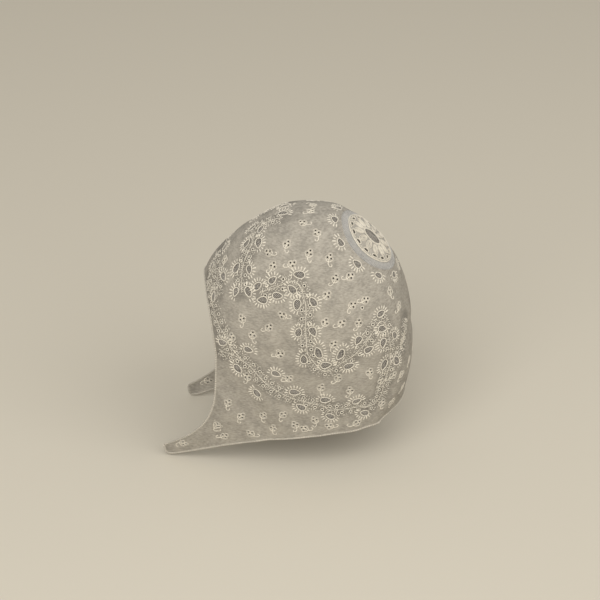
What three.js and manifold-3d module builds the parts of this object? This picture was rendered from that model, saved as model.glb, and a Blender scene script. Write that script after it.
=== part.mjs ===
// A woman's nightcap of thin white muslin with whitework vines, built as the real one is sewn:
// a headpiece that covers crown, sides and lappets in one, a ring of net let into its back,
// a worked medallion inside that ring, and a narrow rolled hem along each free edge.
//
// Millimetres. +X is the wearer's left, -Y is the way the face looks, +Z is up.
// The origin is the inside of the crown's highest place, where the cap sits on the head.
import * as THREE from 'three';
import { mergeVertices } from 'three/addons/utils/BufferGeometryUtils.js';
import Module from 'manifold-3d';

// Size of the cap
const CAP_DEPTH = 210; // front edge to back of the head, on the mid-plane
const CAP_HEIGHT = 261; // top of the crown to the lowest place of the lappets
const HALF_WIDTH = 79; // mid-plane to the fullest place of the side

// Cloth, seams and hems
const MUSLIN = 1; // thickness of the cloth
const SEAM_GAP = 0.3; // room between two pieces that are sewn together
const HEM_THICKNESS = 2; // a rolled hem, across

// Medallion on the back of the head and the net ring round it
const MEDALLION_HOOP = 5.1; // where its centre lies on the mid-plane, in hoops from the front
const MEDALLION_RADIUS = 29;
const NET_WIDTH = 7; // width of the ring of net
const SLOT_COUNT = 14;
const SLOT_LENGTH = 5.2; // the slots lie end to end in a ring
const SLOT_WIDTH = 2.6;
const SLOT_INSET = 4; // edge of the medallion to the middle of a slot
const EYE_LENGTH = 19.5; // the pierced oval in the middle, long from front to back
const EYE_WIDTH = 15;

// Pierced leaves of the vines
const LEAF_LENGTH = 10.5;
const LEAF_WIDTH = 6.2;
const LEAF_SPREAD = 8; // stem to the middle of a leaf
const LEAF_LEAN = 20; // degrees that a leaf's tip turns away from the stem
const WREATH_COUNT = 10; // leaves that ring the net
const WREATH_CLEARANCE = 3; // edge of the net to the nearest side of a wreath leaf

// The cap is a row of hoops from the front edge (0) to the nape (9). Each runs from hem to hem over
// the crown. y is a share of CAP_DEPTH behind the origin, z a share of CAP_HEIGHT below the
// crown's top and x a share of HALF_WIDTH. sweep bends the hoop forward and inward below the ear,
// flare lets its sides fall back from the top at once instead of near the ear, and turn is the
// share of a quarter turn that it makes from the top to the side.
const HOOP_COLUMNS = [
  'topY', 'topZ', 'sideX', 'sideY', 'sideZ', 'hemX', 'hemY', 'hemZ', 'sweep', 'flare', 'turn',
];
const HOOPS = [
  // topY   topZ   sideX  sideY   sideZ  hemX   hemY    hemZ   sweep flare turn
  [-0.481, 0.291, 0.911, -0.367, 0.578, 0.747, -0.643, 0.969, 3.3, 1,    1],
  [-0.433, 0.218, 0.937, -0.324, 0.555, 0.747, -0.605, 1,     3.2, 0.75, 1],
  [-0.305, 0.115, 0.975, -0.233, 0.509, 0.848, -0.381, 0.931, 2.2, 0.3,  1],
  [-0.105, 0.015, 1,     -0.095, 0.471, 0.886, -0.171, 0.881, 1.6, 0,    1],
  [0.129,  0.007, 1,     0.062,  0.456, 0.873, 0.019,  0.854, 1.3, 0,    1],
  [0.305,  0.088, 0.937, 0.219,  0.463, 0.823, 0.171,  0.835, 1.2, 0,    1],
  [0.429,  0.218, 0.772, 0.367,  0.494, 0.722, 0.286,  0.827, 1.1, 0,    1],
  [0.5,    0.387, 0.582, 0.443,  0.571, 0.646, 0.338,  0.82,  1,   0,    0.9],
  [0.517,  0.609, 0.456, 0.469,  0.686, 0.582, 0.367,  0.82,  1,   0,    0.7],
  [0.486,  0.77,  0.316, 0.455,  0.785, 0.519, 0.39,   0.82,  1,   0,    0.5],
].map((row) => Object.fromEntries(row.map((value, k) => [HOOP_COLUMNS[k], value])));
const LAST_HOOP = HOOPS.length - 1;
const ROUNDNESS = 0.92; // 1 is an ellipse from crown to side; less is squarer
const FLARE_POWER = 1.5; // how late a flared hoop falls back
const SIDE = 0.5; // the value of around at the widest place; the hem is at 1, the mid-plane at 0

// Soft folds in the cloth, on both sides of the mid-plane. across and along are the fold's
// half widths as shares of HALF_WIDTH, depth is a share of HALF_WIDTH too, and a minus is a hollow.
const FOLDS = [
  { hoop: 1.9, around: 0.72, across: 0.1, along: 0.55, depth: -0.018 },
  { hoop: 3.3, around: 0.84, across: 0.12, along: 0.4, depth: 0.014 },
  { hoop: 4.4, around: 0.24, across: 0.14, along: 0.5, depth: -0.013 },
  { hoop: 5.9, around: 0.66, across: 0.11, along: 0.45, depth: 0.015 },
  { hoop: 7.2, around: 0.3, across: 0.1, along: 0.4, depth: -0.015 },
];

// Stems of the vines on the wearer's left, mirrored to the right. Each row is a node of the stem, in
// hoops from the front and around from the mid-plane. left and right say how far from it a leaf
// stands on each side, as a share of LEAF_SPREAD, and 0 is no leaf.
const CHEEK_VINE = [
  { hoop: 0.55, around: 0.43, left: 1, right: 0 },
  { hoop: 2, around: 0.51, left: 1.4, right: 1.4 },
  { hoop: 2.9, around: 0.66, left: 2, right: 2 },
  { hoop: 3.7, around: 0.755, left: 1, right: 0 },
  { hoop: 4.05, around: 0.78, left: 0, right: 1 },
  { hoop: 4.65, around: 0.815, left: 1, right: 0 },
  { hoop: 4.95, around: 0.845, left: 0, right: 1 },
  { hoop: 5.8, around: 0.835, left: 1, right: 0 },
  { hoop: 6.35, around: 0.835, left: 0, right: 1 },
];
const EAR_VINE = [
  { hoop: 2.68, around: 0.325, left: 0.9, right: 0.9 },
  { hoop: 3.07, around: 0.32, left: 1, right: 1 },
  { hoop: 3.53, around: 0.305, left: 1, right: 1 },
  { hoop: 3.82, around: 0.365, left: 1, right: 1 },
  { hoop: 3.94, around: 0.445, left: 0.9, right: 0.9 },
  { hoop: 4.15, around: 0.52, left: 1.1, right: 0.8 },
  { hoop: 4.62, around: 0.6, left: 0.9, right: 0 },
  { hoop: 5.17, around: 0.535, left: 1, right: 1 },
  { hoop: 5.63, around: 0.455, left: 1, right: 1 },
  { hoop: 6.03, around: 0.33, left: 1, right: 1 },
  { hoop: 6.5, around: 0.37, left: 1, right: 1 },
  { hoop: 6.9, around: 0.46, left: 1, right: 1 },
];
const BROW_VINE = [
  { hoop: 3.04, around: 0.058, left: 0, right: 1 },
  { hoop: 2.7, around: 0.055, left: 0, right: 0 },
  { hoop: 2.45, around: 0.06, left: 1, right: 1 },
  { hoop: 2.42, around: 0.13, left: 1, right: 1 },
  { hoop: 2.18, around: 0.215, left: 1, right: 1 },
  { hoop: 2.15, around: 0.295, left: 0.9, right: 0.9 },
];
const EDGE_VINE = [
  { hoop: 1.3, around: 0.03, left: 1, right: 0 },
  { hoop: 1.1, around: 0.09, left: 0, right: 1 },
  { hoop: 1.17, around: 0.18, left: 1, right: 0 },
  { hoop: 1.05, around: 0.24, left: 0, right: 1 },
];
const VINES = [CHEEK_VINE, EAR_VINE, BROW_VINE, EDGE_VINE];

// Fineness of the faceted surface
const HOOPWISE_STEPS = 21;
const AROUND_STEPS = 26;
const LEAF_ARC_STEPS = 3;
const ROUND_STEPS = 24;
const EYE_STEPS = 12;
const SLOT_STEPS = 6;
const HEM_SIDES = 6;
const PUNCH_REACH = 22; // how far a punch stands clear of where it is set, inside and outside
const PLACE_ROUNDS = 8; // refinements when a place on the cloth is looked for

const MUSLIN_MATERIAL = new THREE.MeshStandardMaterial({ color: 0xb8ad98, roughness: 0.9, metalness: 0 });
const NET_MATERIAL = new THREE.MeshStandardMaterial({ color: 0xa5a093, roughness: 0.85, metalness: 0 });
const WHITEWORK_MATERIAL = new THREE.MeshStandardMaterial({ color: 0xc8bea9, roughness: 0.8, metalness: 0 });
const HEM_MATERIAL = new THREE.MeshStandardMaterial({ color: 0xc4b9a3, roughness: 0.85, metalness: 0 });

const wasm = await Module();
wasm.setup();

// Catmull-Rom value between four evenly spaced ones
function blend(before, from, to, after, share) {
  const linear = to - before;
  const square = 2 * before - 5 * from + 4 * to - after;
  const cube = 3 * (from - to) + after - before;
  return from + 0.5 * share * (linear + share * (square + share * cube));
}

// One hoop's measures anywhere along the row, as shares
function hoopAt(hoop) {
  const index = Math.min(Math.floor(hoop), LAST_HOOP - 1);
  const from = HOOPS[index];
  const to = HOOPS[index + 1];
  const measures = {};
  for (const column of Object.keys(from)) {
    const before = index > 0 ? HOOPS[index - 1][column] : 2 * from[column] - to[column];
    const after = index + 2 <= LAST_HOOP ? HOOPS[index + 2][column] : 2 * to[column] - from[column];
    measures[column] = blend(before, from[column], to[column], after, hoop - index);
  }
  return measures;
}

// Smooth outer surface before folds, at a hoop (0 to LAST_HOOP) and around (-1 to 1)
function smoothSurface(hoop, around) {
  const h = hoopAt(hoop);
  const side = Math.sign(around);
  const sideTurn = h.turn * Math.PI / 2;
  const climb = Math.min(Math.abs(around) / SIDE, 1) * sideTurn;
  const outward = (Math.sin(climb) / Math.sin(sideTurn)) ** ROUNDNESS;
  const atSide = Math.max(Math.cos(sideTurn), 0) ** ROUNDNESS;
  const upward = (Math.max(Math.cos(climb), 0) ** ROUNDNESS - atSide) / (1 - atSide);
  const fall = THREE.MathUtils.clamp((Math.abs(around) - SIDE) / (1 - SIDE), 0, 1);
  const sweep = fall ** Math.max(h.sweep, 1);
  const back = h.flare * outward ** FLARE_POWER + (1 - h.flare) * (1 - upward);
  const x = h.sideX * outward + (h.hemX - h.sideX) * sweep;
  const y = h.topY + (h.sideY - h.topY) * back + (h.hemY - h.sideY) * sweep;
  const z = h.sideZ + (h.topZ - h.sideZ) * upward + (h.hemZ - h.sideZ) * fall;
  return new THREE.Vector3(side * x * HALF_WIDTH, y * CAP_DEPTH, MUSLIN - z * CAP_HEIGHT);
}

// Position, outward normal and the two directions along the cloth at a place on it
function frameAt(hoop, around, surface = smoothSurface) {
  const step = 1e-3;
  const hoopLow = Math.max(hoop - step, 0);
  const hoopHigh = Math.min(hoop + step, LAST_HOOP);
  const aroundLow = Math.max(around - step, -1);
  const aroundHigh = Math.min(around + step, 1);
  const backward = surface(hoopHigh, around).sub(surface(hoopLow, around)).normalize();
  const leftward = surface(hoop, aroundHigh).sub(surface(hoop, aroundLow)).normalize();
  const normal = new THREE.Vector3().crossVectors(leftward, backward).normalize();
  return { point: surface(hoop, around), normal, backward, leftward };
}

const FOLD_FRAMES = FOLDS.flatMap((fold) => [1, -1].map((side) => ({
  ...fold,
  ...frameAt(fold.hoop, side * fold.around),
})));

// Outer surface with its folds
function outerSurface(hoop, around) {
  const { point, normal } = frameAt(hoop, around);
  let lift = 0;
  for (const fold of FOLD_FRAMES) {
    const offset = point.clone().sub(fold.point).divideScalar(HALF_WIDTH);
    const acrossShare = offset.dot(fold.backward) / fold.across;
    const downShare = offset.dot(fold.leftward) / fold.along;
    lift += fold.depth * Math.exp(-(acrossShare ** 2) - downShare ** 2);
  }
  return point.addScaledVector(normal, lift * HALF_WIDTH);
}

// The cloth as one closed solid: an outer skin, an inner skin and the four edges between them
function clothShell() {
  const positions = [];
  const columns = AROUND_STEPS + 1;
  const skinSize = (HOOPWISE_STEPS + 1) * columns;
  for (const depth of [0, MUSLIN]) {
    for (let i = 0; i <= HOOPWISE_STEPS; i += 1) {
      for (let j = 0; j <= AROUND_STEPS; j += 1) {
        const around = 2 * j / AROUND_STEPS - 1;
        const { point, normal } = frameAt(LAST_HOOP * i / HOOPWISE_STEPS, around, outerSurface);
        positions.push(...point.addScaledVector(normal, -depth).toArray());
      }
    }
  }
  const faces = [];
  const addQuad = (a, b, c, d) => faces.push(a, b, c, a, c, d);
  for (let i = 0; i < HOOPWISE_STEPS; i += 1) {
    for (let j = 0; j < AROUND_STEPS; j += 1) {
      const a = i * columns + j;
      addQuad(a, a + 1, a + columns + 1, a + columns);
      addQuad(skinSize + a, skinSize + a + columns, skinSize + a + columns + 1, skinSize + a + 1);
    }
  }
  const rim = [];
  for (let j = 0; j < AROUND_STEPS; j += 1) rim.push(j);
  for (let i = 0; i < HOOPWISE_STEPS; i += 1) rim.push(i * columns + AROUND_STEPS);
  for (let j = AROUND_STEPS; j > 0; j -= 1) rim.push(HOOPWISE_STEPS * columns + j);
  for (let i = HOOPWISE_STEPS; i > 0; i -= 1) rim.push(i * columns);
  rim.forEach((from, k) => {
    const to = rim[(k + 1) % rim.length];
    addQuad(from, skinSize + from, skinSize + to, to);
  });
  const geometry = new THREE.BufferGeometry();
  geometry.setAttribute('position', new THREE.Float32BufferAttribute(positions, 3));
  geometry.setIndex(faces);
  return toSolid(geometry);
}

function toSolid(geometry) {
  const bare = geometry.clone();
  bare.deleteAttribute('normal');
  bare.deleteAttribute('uv');
  const merged = mergeVertices(bare, 1e-4);
  return new wasm.Manifold(new wasm.Mesh({
    numProp: 3,
    vertProperties: new Float32Array(merged.attributes.position.array),
    triVerts: new Uint32Array(merged.index.array),
  }));
}

function toGeometry(solid) {
  const mesh = solid.getMesh();
  const geometry = new THREE.BufferGeometry();
  geometry.setAttribute('position', new THREE.BufferAttribute(mesh.vertProperties, 3));
  geometry.setIndex(new THREE.BufferAttribute(mesh.triVerts, 1));
  return geometry;
}

// A straight punch through the cloth: an outline extruded along the normal, its x towards heading
function punch(outline, point, normal, heading) {
  const geometry = new THREE.ExtrudeGeometry(outline, {
    depth: 2 * PUNCH_REACH,
    bevelEnabled: false,
    curveSegments: LEAF_ARC_STEPS,
  });
  const x = heading.clone().addScaledVector(normal, -heading.dot(normal)).normalize();
  const y = new THREE.Vector3().crossVectors(normal, x);
  const turn = new THREE.Matrix4().makeBasis(x, y, normal);
  geometry.translate(0, 0, -PUNCH_REACH);
  geometry.applyMatrix4(turn.setPosition(point));
  return toSolid(geometry);
}

// A leaf, pointed at both ends
function leafOutline() {
  const outline = new THREE.Shape();
  outline.moveTo(-LEAF_LENGTH / 2, 0);
  outline.quadraticCurveTo(0, -LEAF_WIDTH, LEAF_LENGTH / 2, 0);
  outline.quadraticCurveTo(0, LEAF_WIDTH, -LEAF_LENGTH / 2, 0);
  return outline;
}

function roundOutline(halfLength, halfWidth, steps) {
  const outline = new THREE.Shape();
  for (let k = 0; k < steps; k += 1) {
    const angle = 2 * Math.PI * k / steps;
    const x = halfLength * Math.cos(angle);
    const y = halfWidth * Math.sin(angle);
    if (k === 0) outline.moveTo(x, y);
    else outline.lineTo(x, y);
  }
  outline.closePath();
  return outline;
}

// A leaf punch beside a stem that heads along the cloth, at a share of LEAF_SPREAD from it and
// towards bearing: +1 is left of the heading, -1 right
function leafBeside(stem, heading, bearing, share) {
  const aside = new THREE.Vector3().crossVectors(stem.normal, heading).multiplyScalar(bearing);
  const lean = THREE.MathUtils.degToRad(LEAF_LEAN);
  const tipward = heading.clone().multiplyScalar(Math.cos(lean)).addScaledVector(aside, Math.sin(lean));
  const middle = stem.point.clone().addScaledVector(aside, share * LEAF_SPREAD);
  return punch(leafOutline(), middle, stem.normal, tipward);
}

// Leaf punches of one vine, on one side of the cap (side is 1 or -1)
function vinePunches(vine, side) {
  const nodes = vine.map((node) => frameAt(node.hoop, side * node.around, outerSurface));
  return vine.flatMap((node, k) => {
    const before = nodes[Math.max(k - 1, 0)].point;
    const after = nodes[Math.min(k + 1, nodes.length - 1)].point;
    const heading = after.clone().sub(before).projectOnPlane(nodes[k].normal).normalize();
    return [[side, node.left], [-side, node.right]]
      .filter(([, share]) => share > 0)
      .map(([bearing, share]) => leafBeside(nodes[k], heading, bearing, share));
  });
}

// Everything round the medallion is set out from its centre on the mid-plane
const CENTRE = frameAt(MEDALLION_HOOP, 0, outerSurface);

function discPunch(radius) {
  return punch(roundOutline(radius, radius, ROUND_STEPS), CENTRE.point, CENTRE.normal, CENTRE.backward);
}

// The cloth's frame at a way from the centre, measured square to the centre's normal
function frameRoundCentre(behind, aside) {
  const miss = (hoop, around) => {
    const offset = outerSurface(hoop, around).sub(CENTRE.point);
    return [offset.dot(CENTRE.backward) - behind, offset.dot(CENTRE.leftward) - aside];
  };
  const step = 1e-3;
  let hoop = MEDALLION_HOOP;
  let around = 0;
  for (let round = 0; round < PLACE_ROUNDS; round += 1) {
    const [b, a] = miss(hoop, around);
    const [bHoop, aHoop] = miss(hoop + step, around).map((value, k) => (value - [b, a][k]) / step);
    const [bAround, aAround] = miss(hoop, around + step).map((value, k) => (value - [b, a][k]) / step);
    const area = bHoop * aAround - bAround * aHoop;
    hoop -= (b * aAround - a * bAround) / area;
    around -= (a * bHoop - b * aHoop) / area;
  }
  return frameAt(hoop, around, outerSurface);
}

// Punches in a ring round the medallion's centre, square to the cloth, their length along the ring
function ringPunches(count, radius, outline) {
  const punches = [];
  for (let k = 0; k < count; k += 1) {
    const angle = 2 * Math.PI * (k + 0.5) / count;
    const frame = frameRoundCentre(radius * Math.cos(angle), radius * Math.sin(angle));
    const outward = frame.point.clone().sub(CENTRE.point);
    const along = new THREE.Vector3().crossVectors(frame.normal, outward);
    punches.push(punch(outline, frame.point, frame.normal, along));
  }
  return punches;
}

// A curve with one section at each of its points, however far apart they lie
class StationCurve extends THREE.CatmullRomCurve3 {
  getPointAt(share, target) {
    return this.getPoint(share, target);
  }

  getTangentAt(share, target) {
    return this.getTangent(share, target);
  }
}

// Hem: a rolled edge laid along the rim's own corners, clear of the cloth by the seam gap
function rolledHem(rimPlaces) {
  const standOff = HEM_THICKNESS / 2 + SEAM_GAP;
  const route = rimPlaces.map(({ hoop, around, outwardOf, beyond = 0 }) => {
    const frame = frameAt(hoop, around, outerSurface);
    return frame.point
      .addScaledVector(frame.normal, -MUSLIN / 2)
      .addScaledVector(outwardOf(frame), standOff)
      .addScaledVector(frame.backward, beyond);
  });
  return new THREE.ExtrudeGeometry(roundOutline(HEM_THICKNESS / 2, HEM_THICKNESS / 2, HEM_SIDES), {
    steps: route.length - 1,
    extrudePath: new StationCurve(route),
  });
}

// Direction in the cloth, square to an edge and away from the cloth
const aheadOfFront = ({ normal, leftward }) => new THREE.Vector3().crossVectors(leftward, normal);
const belowNape = ({ normal, leftward }) => new THREE.Vector3().crossVectors(normal, leftward);
const belowHem = (side) => ({ normal, backward }) => new THREE.Vector3()
  .crossVectors(backward, normal).multiplyScalar(side);
const offCorner = (side) => (frame) => belowHem(side)(frame).add(belowNape(frame)).normalize();

function frontHem() {
  const places = [];
  for (let j = 0; j <= AROUND_STEPS; j += 1) {
    places.push({ hoop: 0, around: 2 * j / AROUND_STEPS - 1, outwardOf: aheadOfFront });
  }
  return rolledHem(places);
}

// Places along the lower edge of one side, front to back; the first reaches past the front hem
function hemPlaces(side) {
  const pastFrontHem = HEM_THICKNESS + 2 * SEAM_GAP;
  const places = [];
  for (let i = 0; i < HOOPWISE_STEPS; i += 1) {
    const hoop = LAST_HOOP * i / HOOPWISE_STEPS;
    places.push({ hoop, around: side, outwardOf: belowHem(side), beyond: i === 0 ? -pastFrontHem : 0 });
  }
  return places;
}

function neckHem() {
  const nape = [];
  for (let j = AROUND_STEPS - 1; j > 0; j -= 1) {
    nape.push({ hoop: LAST_HOOP, around: 2 * j / AROUND_STEPS - 1, outwardOf: belowNape });
  }
  const corner = (side) => ({ hoop: LAST_HOOP, around: side, outwardOf: offCorner(side) });
  return rolledHem([...hemPlaces(1), corner(1), ...nape, corner(-1), ...hemPlaces(-1).reverse()]);
}

function headpiece(cloth) {
  const netEdge = MEDALLION_RADIUS + SEAM_GAP + NET_WIDTH;
  const wreathRadius = netEdge + SEAM_GAP + WREATH_CLEARANCE + LEAF_WIDTH / 2;
  const cutters = [
    discPunch(netEdge + SEAM_GAP),
    ...ringPunches(WREATH_COUNT, wreathRadius, leafOutline()),
    ...VINES.flatMap((vine) => [...vinePunches(vine, 1), ...vinePunches(vine, -1)]),
  ];
  return cutters.reduce((solid, cutter) => solid.subtract(cutter), cloth);
}

function netInsertion(cloth) {
  const inner = MEDALLION_RADIUS + SEAM_GAP;
  return cloth.intersect(discPunch(inner + NET_WIDTH)).subtract(discPunch(inner));
}

function medallion(cloth) {
  const slot = roundOutline(SLOT_LENGTH / 2, SLOT_WIDTH / 2, SLOT_STEPS);
  const oval = roundOutline(EYE_LENGTH / 2, EYE_WIDTH / 2, EYE_STEPS);
  const eye = punch(oval, CENTRE.point, CENTRE.normal, CENTRE.backward);
  const slots = ringPunches(SLOT_COUNT, MEDALLION_RADIUS - SLOT_INSET, slot);
  const disc = cloth.intersect(discPunch(MEDALLION_RADIUS));
  return [eye, ...slots].reduce((solid, cutter) => solid.subtract(cutter), disc);
}

function namedMesh(name, geometry, material) {
  const mesh = new THREE.Mesh(geometry, material);
  mesh.name = name;
  return mesh;
}

const cloth = clothShell();
const nightcap = new THREE.Group();
nightcap.add(
  namedMesh('headpiece', toGeometry(headpiece(cloth)), MUSLIN_MATERIAL),
  namedMesh('net_insertion', toGeometry(netInsertion(cloth)), NET_MATERIAL),
  namedMesh('crown_medallion', toGeometry(medallion(cloth)), WHITEWORK_MATERIAL),
  namedMesh('front_hem', frontHem(), HEM_MATERIAL),
  namedMesh('neck_hem', neckHem(), HEM_MATERIAL),
);

export default nightcap;
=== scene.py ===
"""The look of a woman's nightcap of thin white muslin with whitework vines, net and a worked medallion.

Metres, in the part's frame: +X is the wearer's left, -Y the way the face looks and +Z up. The origin
is the inside of the crown's highest place. A place on the cloth is given as the part gives it: hoop
runs from the front edge (0) to the nape (9), around from the mid-plane (0) over the fullest place of
the side (0.5) to the lower edge (1), with a minus on the wearer's right.
"""

import logging
import math
from dataclasses import dataclass, field
from enum import Enum

import bpy
import numpy as np
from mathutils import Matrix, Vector, kdtree
from mathutils.geometry import delaunay_2d_cdt

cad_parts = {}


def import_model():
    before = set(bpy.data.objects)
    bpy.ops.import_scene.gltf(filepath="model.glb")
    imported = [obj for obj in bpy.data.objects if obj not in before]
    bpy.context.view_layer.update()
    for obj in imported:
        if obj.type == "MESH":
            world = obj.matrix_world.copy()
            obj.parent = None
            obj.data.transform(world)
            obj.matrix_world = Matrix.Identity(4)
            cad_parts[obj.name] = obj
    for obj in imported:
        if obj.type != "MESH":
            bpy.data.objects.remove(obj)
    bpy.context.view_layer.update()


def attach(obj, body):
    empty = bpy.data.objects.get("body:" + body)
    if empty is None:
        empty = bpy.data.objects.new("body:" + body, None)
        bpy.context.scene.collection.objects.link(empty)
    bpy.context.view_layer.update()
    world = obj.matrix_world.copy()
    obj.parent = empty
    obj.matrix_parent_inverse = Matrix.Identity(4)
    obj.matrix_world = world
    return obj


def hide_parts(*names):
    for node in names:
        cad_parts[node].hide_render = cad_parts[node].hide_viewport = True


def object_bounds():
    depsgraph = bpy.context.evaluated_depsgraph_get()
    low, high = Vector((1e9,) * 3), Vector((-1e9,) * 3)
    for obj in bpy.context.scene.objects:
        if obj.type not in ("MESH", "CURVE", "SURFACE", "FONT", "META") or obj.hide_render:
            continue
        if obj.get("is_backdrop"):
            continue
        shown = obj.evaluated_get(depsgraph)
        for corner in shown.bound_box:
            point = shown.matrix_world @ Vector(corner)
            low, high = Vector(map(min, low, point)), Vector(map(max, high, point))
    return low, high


LOG = logging.getLogger("nightcap")
MM = 0.001
LAST_HOOP = 9
BODY = "root"

# The cap's form, as the part has it: y is a share of the depth behind the origin, z a share of the
# height below the crown's top and x a share of the half width.
# top_y top_z side_x side_y side_z hem_x hem_y hem_z sweep flare turn
HOOPS = (
    (-0.481, 0.291, 0.911, -0.367, 0.578, 0.747, -0.643, 0.969, 3.3, 1, 1),
    (-0.433, 0.218, 0.937, -0.324, 0.555, 0.747, -0.605, 1, 3.2, 0.75, 1),
    (-0.305, 0.115, 0.975, -0.233, 0.509, 0.848, -0.381, 0.931, 2.2, 0.3, 1),
    (-0.105, 0.015, 1, -0.095, 0.471, 0.886, -0.171, 0.881, 1.6, 0, 1),
    (0.129, 0.007, 1, 0.062, 0.456, 0.873, 0.019, 0.854, 1.3, 0, 1),
    (0.305, 0.088, 0.937, 0.219, 0.463, 0.823, 0.171, 0.835, 1.2, 0, 1),
    (0.429, 0.218, 0.772, 0.367, 0.494, 0.722, 0.286, 0.827, 1.1, 0, 1),
    (0.5, 0.387, 0.582, 0.443, 0.571, 0.646, 0.338, 0.82, 1, 0, 0.9),
    (0.517, 0.609, 0.456, 0.469, 0.686, 0.582, 0.367, 0.82, 1, 0, 0.7),
    (0.486, 0.77, 0.316, 0.455, 0.785, 0.519, 0.39, 0.82, 1, 0, 0.5),
)

# Soft folds: hoop, around, across, along, depth, as shares of the half width
FOLDS = (
    (1.9, 0.72, 0.1, 0.55, -0.018),
    (3.3, 0.84, 0.12, 0.4, 0.014),
    (4.4, 0.24, 0.14, 0.5, -0.013),
    (5.9, 0.66, 0.11, 0.45, 0.015),
    (7.2, 0.3, 0.1, 0.4, -0.015),
)

# Stems of the vines: hoop, around, leaf on the left, leaf on the right, as shares of the leaf spread
CHEEK_VINE = (
    (0.55, 0.43, 1, 0),
    (2, 0.51, 1.4, 1.4),
    (2.9, 0.66, 2, 2),
    (3.7, 0.755, 1, 0),
    (4.05, 0.78, 0, 1),
    (4.65, 0.815, 1, 0),
    (4.95, 0.845, 0, 1),
    (5.8, 0.835, 1, 0),
    (6.35, 0.835, 0, 1),
)
EAR_VINE = (
    (2.68, 0.325, 0.9, 0.9),
    (3.07, 0.32, 1, 1),
    (3.53, 0.305, 1, 1),
    (3.82, 0.365, 1, 1),
    (3.94, 0.445, 0.9, 0.9),
    (4.15, 0.52, 1.1, 0.8),
    (4.62, 0.6, 0.9, 0),
    (5.17, 0.535, 1, 1),
    (5.63, 0.455, 1, 1),
    (6.03, 0.33, 1, 1),
    (6.5, 0.37, 1, 1),
    (6.9, 0.46, 1, 1),
)
BROW_VINE = (
    (3.04, 0.058, 0, 1),
    (2.7, 0.055, 0, 0),
    (2.45, 0.06, 1, 1),
    (2.42, 0.13, 1, 1),
    (2.18, 0.215, 1, 1),
    (2.15, 0.295, 0.9, 0.9),
)
EDGE_VINE = (
    (1.3, 0.03, 1, 0),
    (1.1, 0.09, 0, 1),
    (1.17, 0.18, 1, 0),
    (1.05, 0.24, 0, 1),
)

NAPE_VINE = (
    (6.35, 0.835, 0, 0),
    (6.9, 0.8, 0, 0),
    (7.1, 0.72, 0, 0),
    (6.98, 0.62, 0, 0),
    (6.9, 0.5, 0, 0),
    (7.1, 0.38, 0, 0),
    (7.25, 0.27, 0, 0),
    (7, 0.14, 0, 0),
)
FACE_VINE = (
    (0.42, 0.1, 0, 0),
    (0.45, 0.18, 0, 0),
    (0.55, 0.26, 0, 0),
    (0.85, 0.34, 0, 0),
    (1.2, 0.39, 0, 0),
    (1.5, 0.45, 0, 0),
    (2, 0.51, 0, 0),
)

# Small sprigs strewn between the vines: hoop, around
SPRIGS = (
    (3.25, 0.18), (3.48, 0.09), (3.58, 0.02), (3.8, 0.13), (2.85, 0.2), (3.73, 0.21),
    (4.2, 0.21), (2.99, 0.25), (3.41, 0.25), (4.45, 0.27), (4.81, 0.24), (4.33, 0.33),
    (5.06, 0.33), (5.38, 0.29), (6.05, 0.17), (4.42, 0.41), (4.88, 0.4), (5.34, 0.38),
    (6.53, 0.17), (2.12, 0.38), (3.29, 0.4), (2.94, 0.43), (2.43, 0.44), (4.78, 0.47),
    (3.26, 0.51), (3.59, 0.64), (4.55, 0.7), (5.04, 0.64), (5.45, 0.72), (6, 0.59),
    (2.2, 0.6), (1.4, 0.7), (2.3, 0.83), (2.98, 0.85), (3.54, 0.85), (1.25, 0.82),
    (3.31, 0.93), (3.89, 0.92), (2.75, 0.95), (2.05, 0.94), (4.16, 0.95), (4.45, 0.9),
    (4.95, 0.95), (6.05, 0.95), (1.55, 0.12), (1.62, 0.42), (6.7, 0.62), (7.3, 0.5),
    (7.2, 0.25), (7.8, 0.36), (7.9, 0.12), (7.5, 0.75), (8.3, 0.6), (8.4, 0.3),
    (0.5, 0.945),
)


class Ends(Enum):
    """Whether a cord runs back into itself."""

    OPEN = "open"
    CLOSED = "closed"


class Lay(Enum):
    """How a stitch lies to the path that it follows, as a turn about the cloth's normal."""

    ALONG = 0.0
    SLANTED = math.radians(24)
    ACROSS = math.radians(90)


@dataclass
class Soup:
    """Points and faces of a mesh in the making.

    Attributes:
        points: An (N, 3) array of places.
        faces: Lists of point indices.
    """

    points: np.ndarray
    faces: list

    @staticmethod
    def joined(parts: list["Soup"]) -> "Soup":
        """One soup of several.

        Args:
            parts: The soups, in order.

        Returns:
            A soup that holds them all.
        """
        faces: list = []
        start = 0
        for part in parts:
            faces.extend([tuple(start + k for k in face) for face in part.faces])
            start += len(part.points)
        return Soup(np.concatenate([part.points for part in parts]), faces)

    def mesh(self, name: str) -> bpy.types.Mesh:
        """A Blender mesh of this soup.

        Args:
            name: The mesh's name.

        Returns:
            The mesh, shaded smooth.
        """
        mesh = bpy.data.meshes.new(name)
        mesh.from_pydata(self.points.tolist(), [], self.faces)
        mesh.shade_smooth()
        return mesh


def unit(vectors: np.ndarray) -> np.ndarray:
    """The same directions with length 1."""
    return vectors / np.maximum(np.linalg.norm(vectors, axis=-1, keepdims=True), 1e-12)


def spline(nodes: np.ndarray, steps: int) -> np.ndarray:
    """A Catmull-Rom line through nodes.

    Args:
        nodes: An (N, D) array.
        steps: Steps between one node and the next.

    Returns:
        An ((N - 1) * steps + 1, D) array.
    """
    nodes = np.asarray(nodes, float)
    padded = np.vstack([2 * nodes[0] - nodes[1], nodes, 2 * nodes[-1] - nodes[-2]])
    place = np.arange((len(nodes) - 1) * steps + 1) / steps
    index = np.minimum(place.astype(int), len(nodes) - 2)
    return blend(*(padded[index + k] for k in range(4)), (place - index)[:, None])


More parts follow.
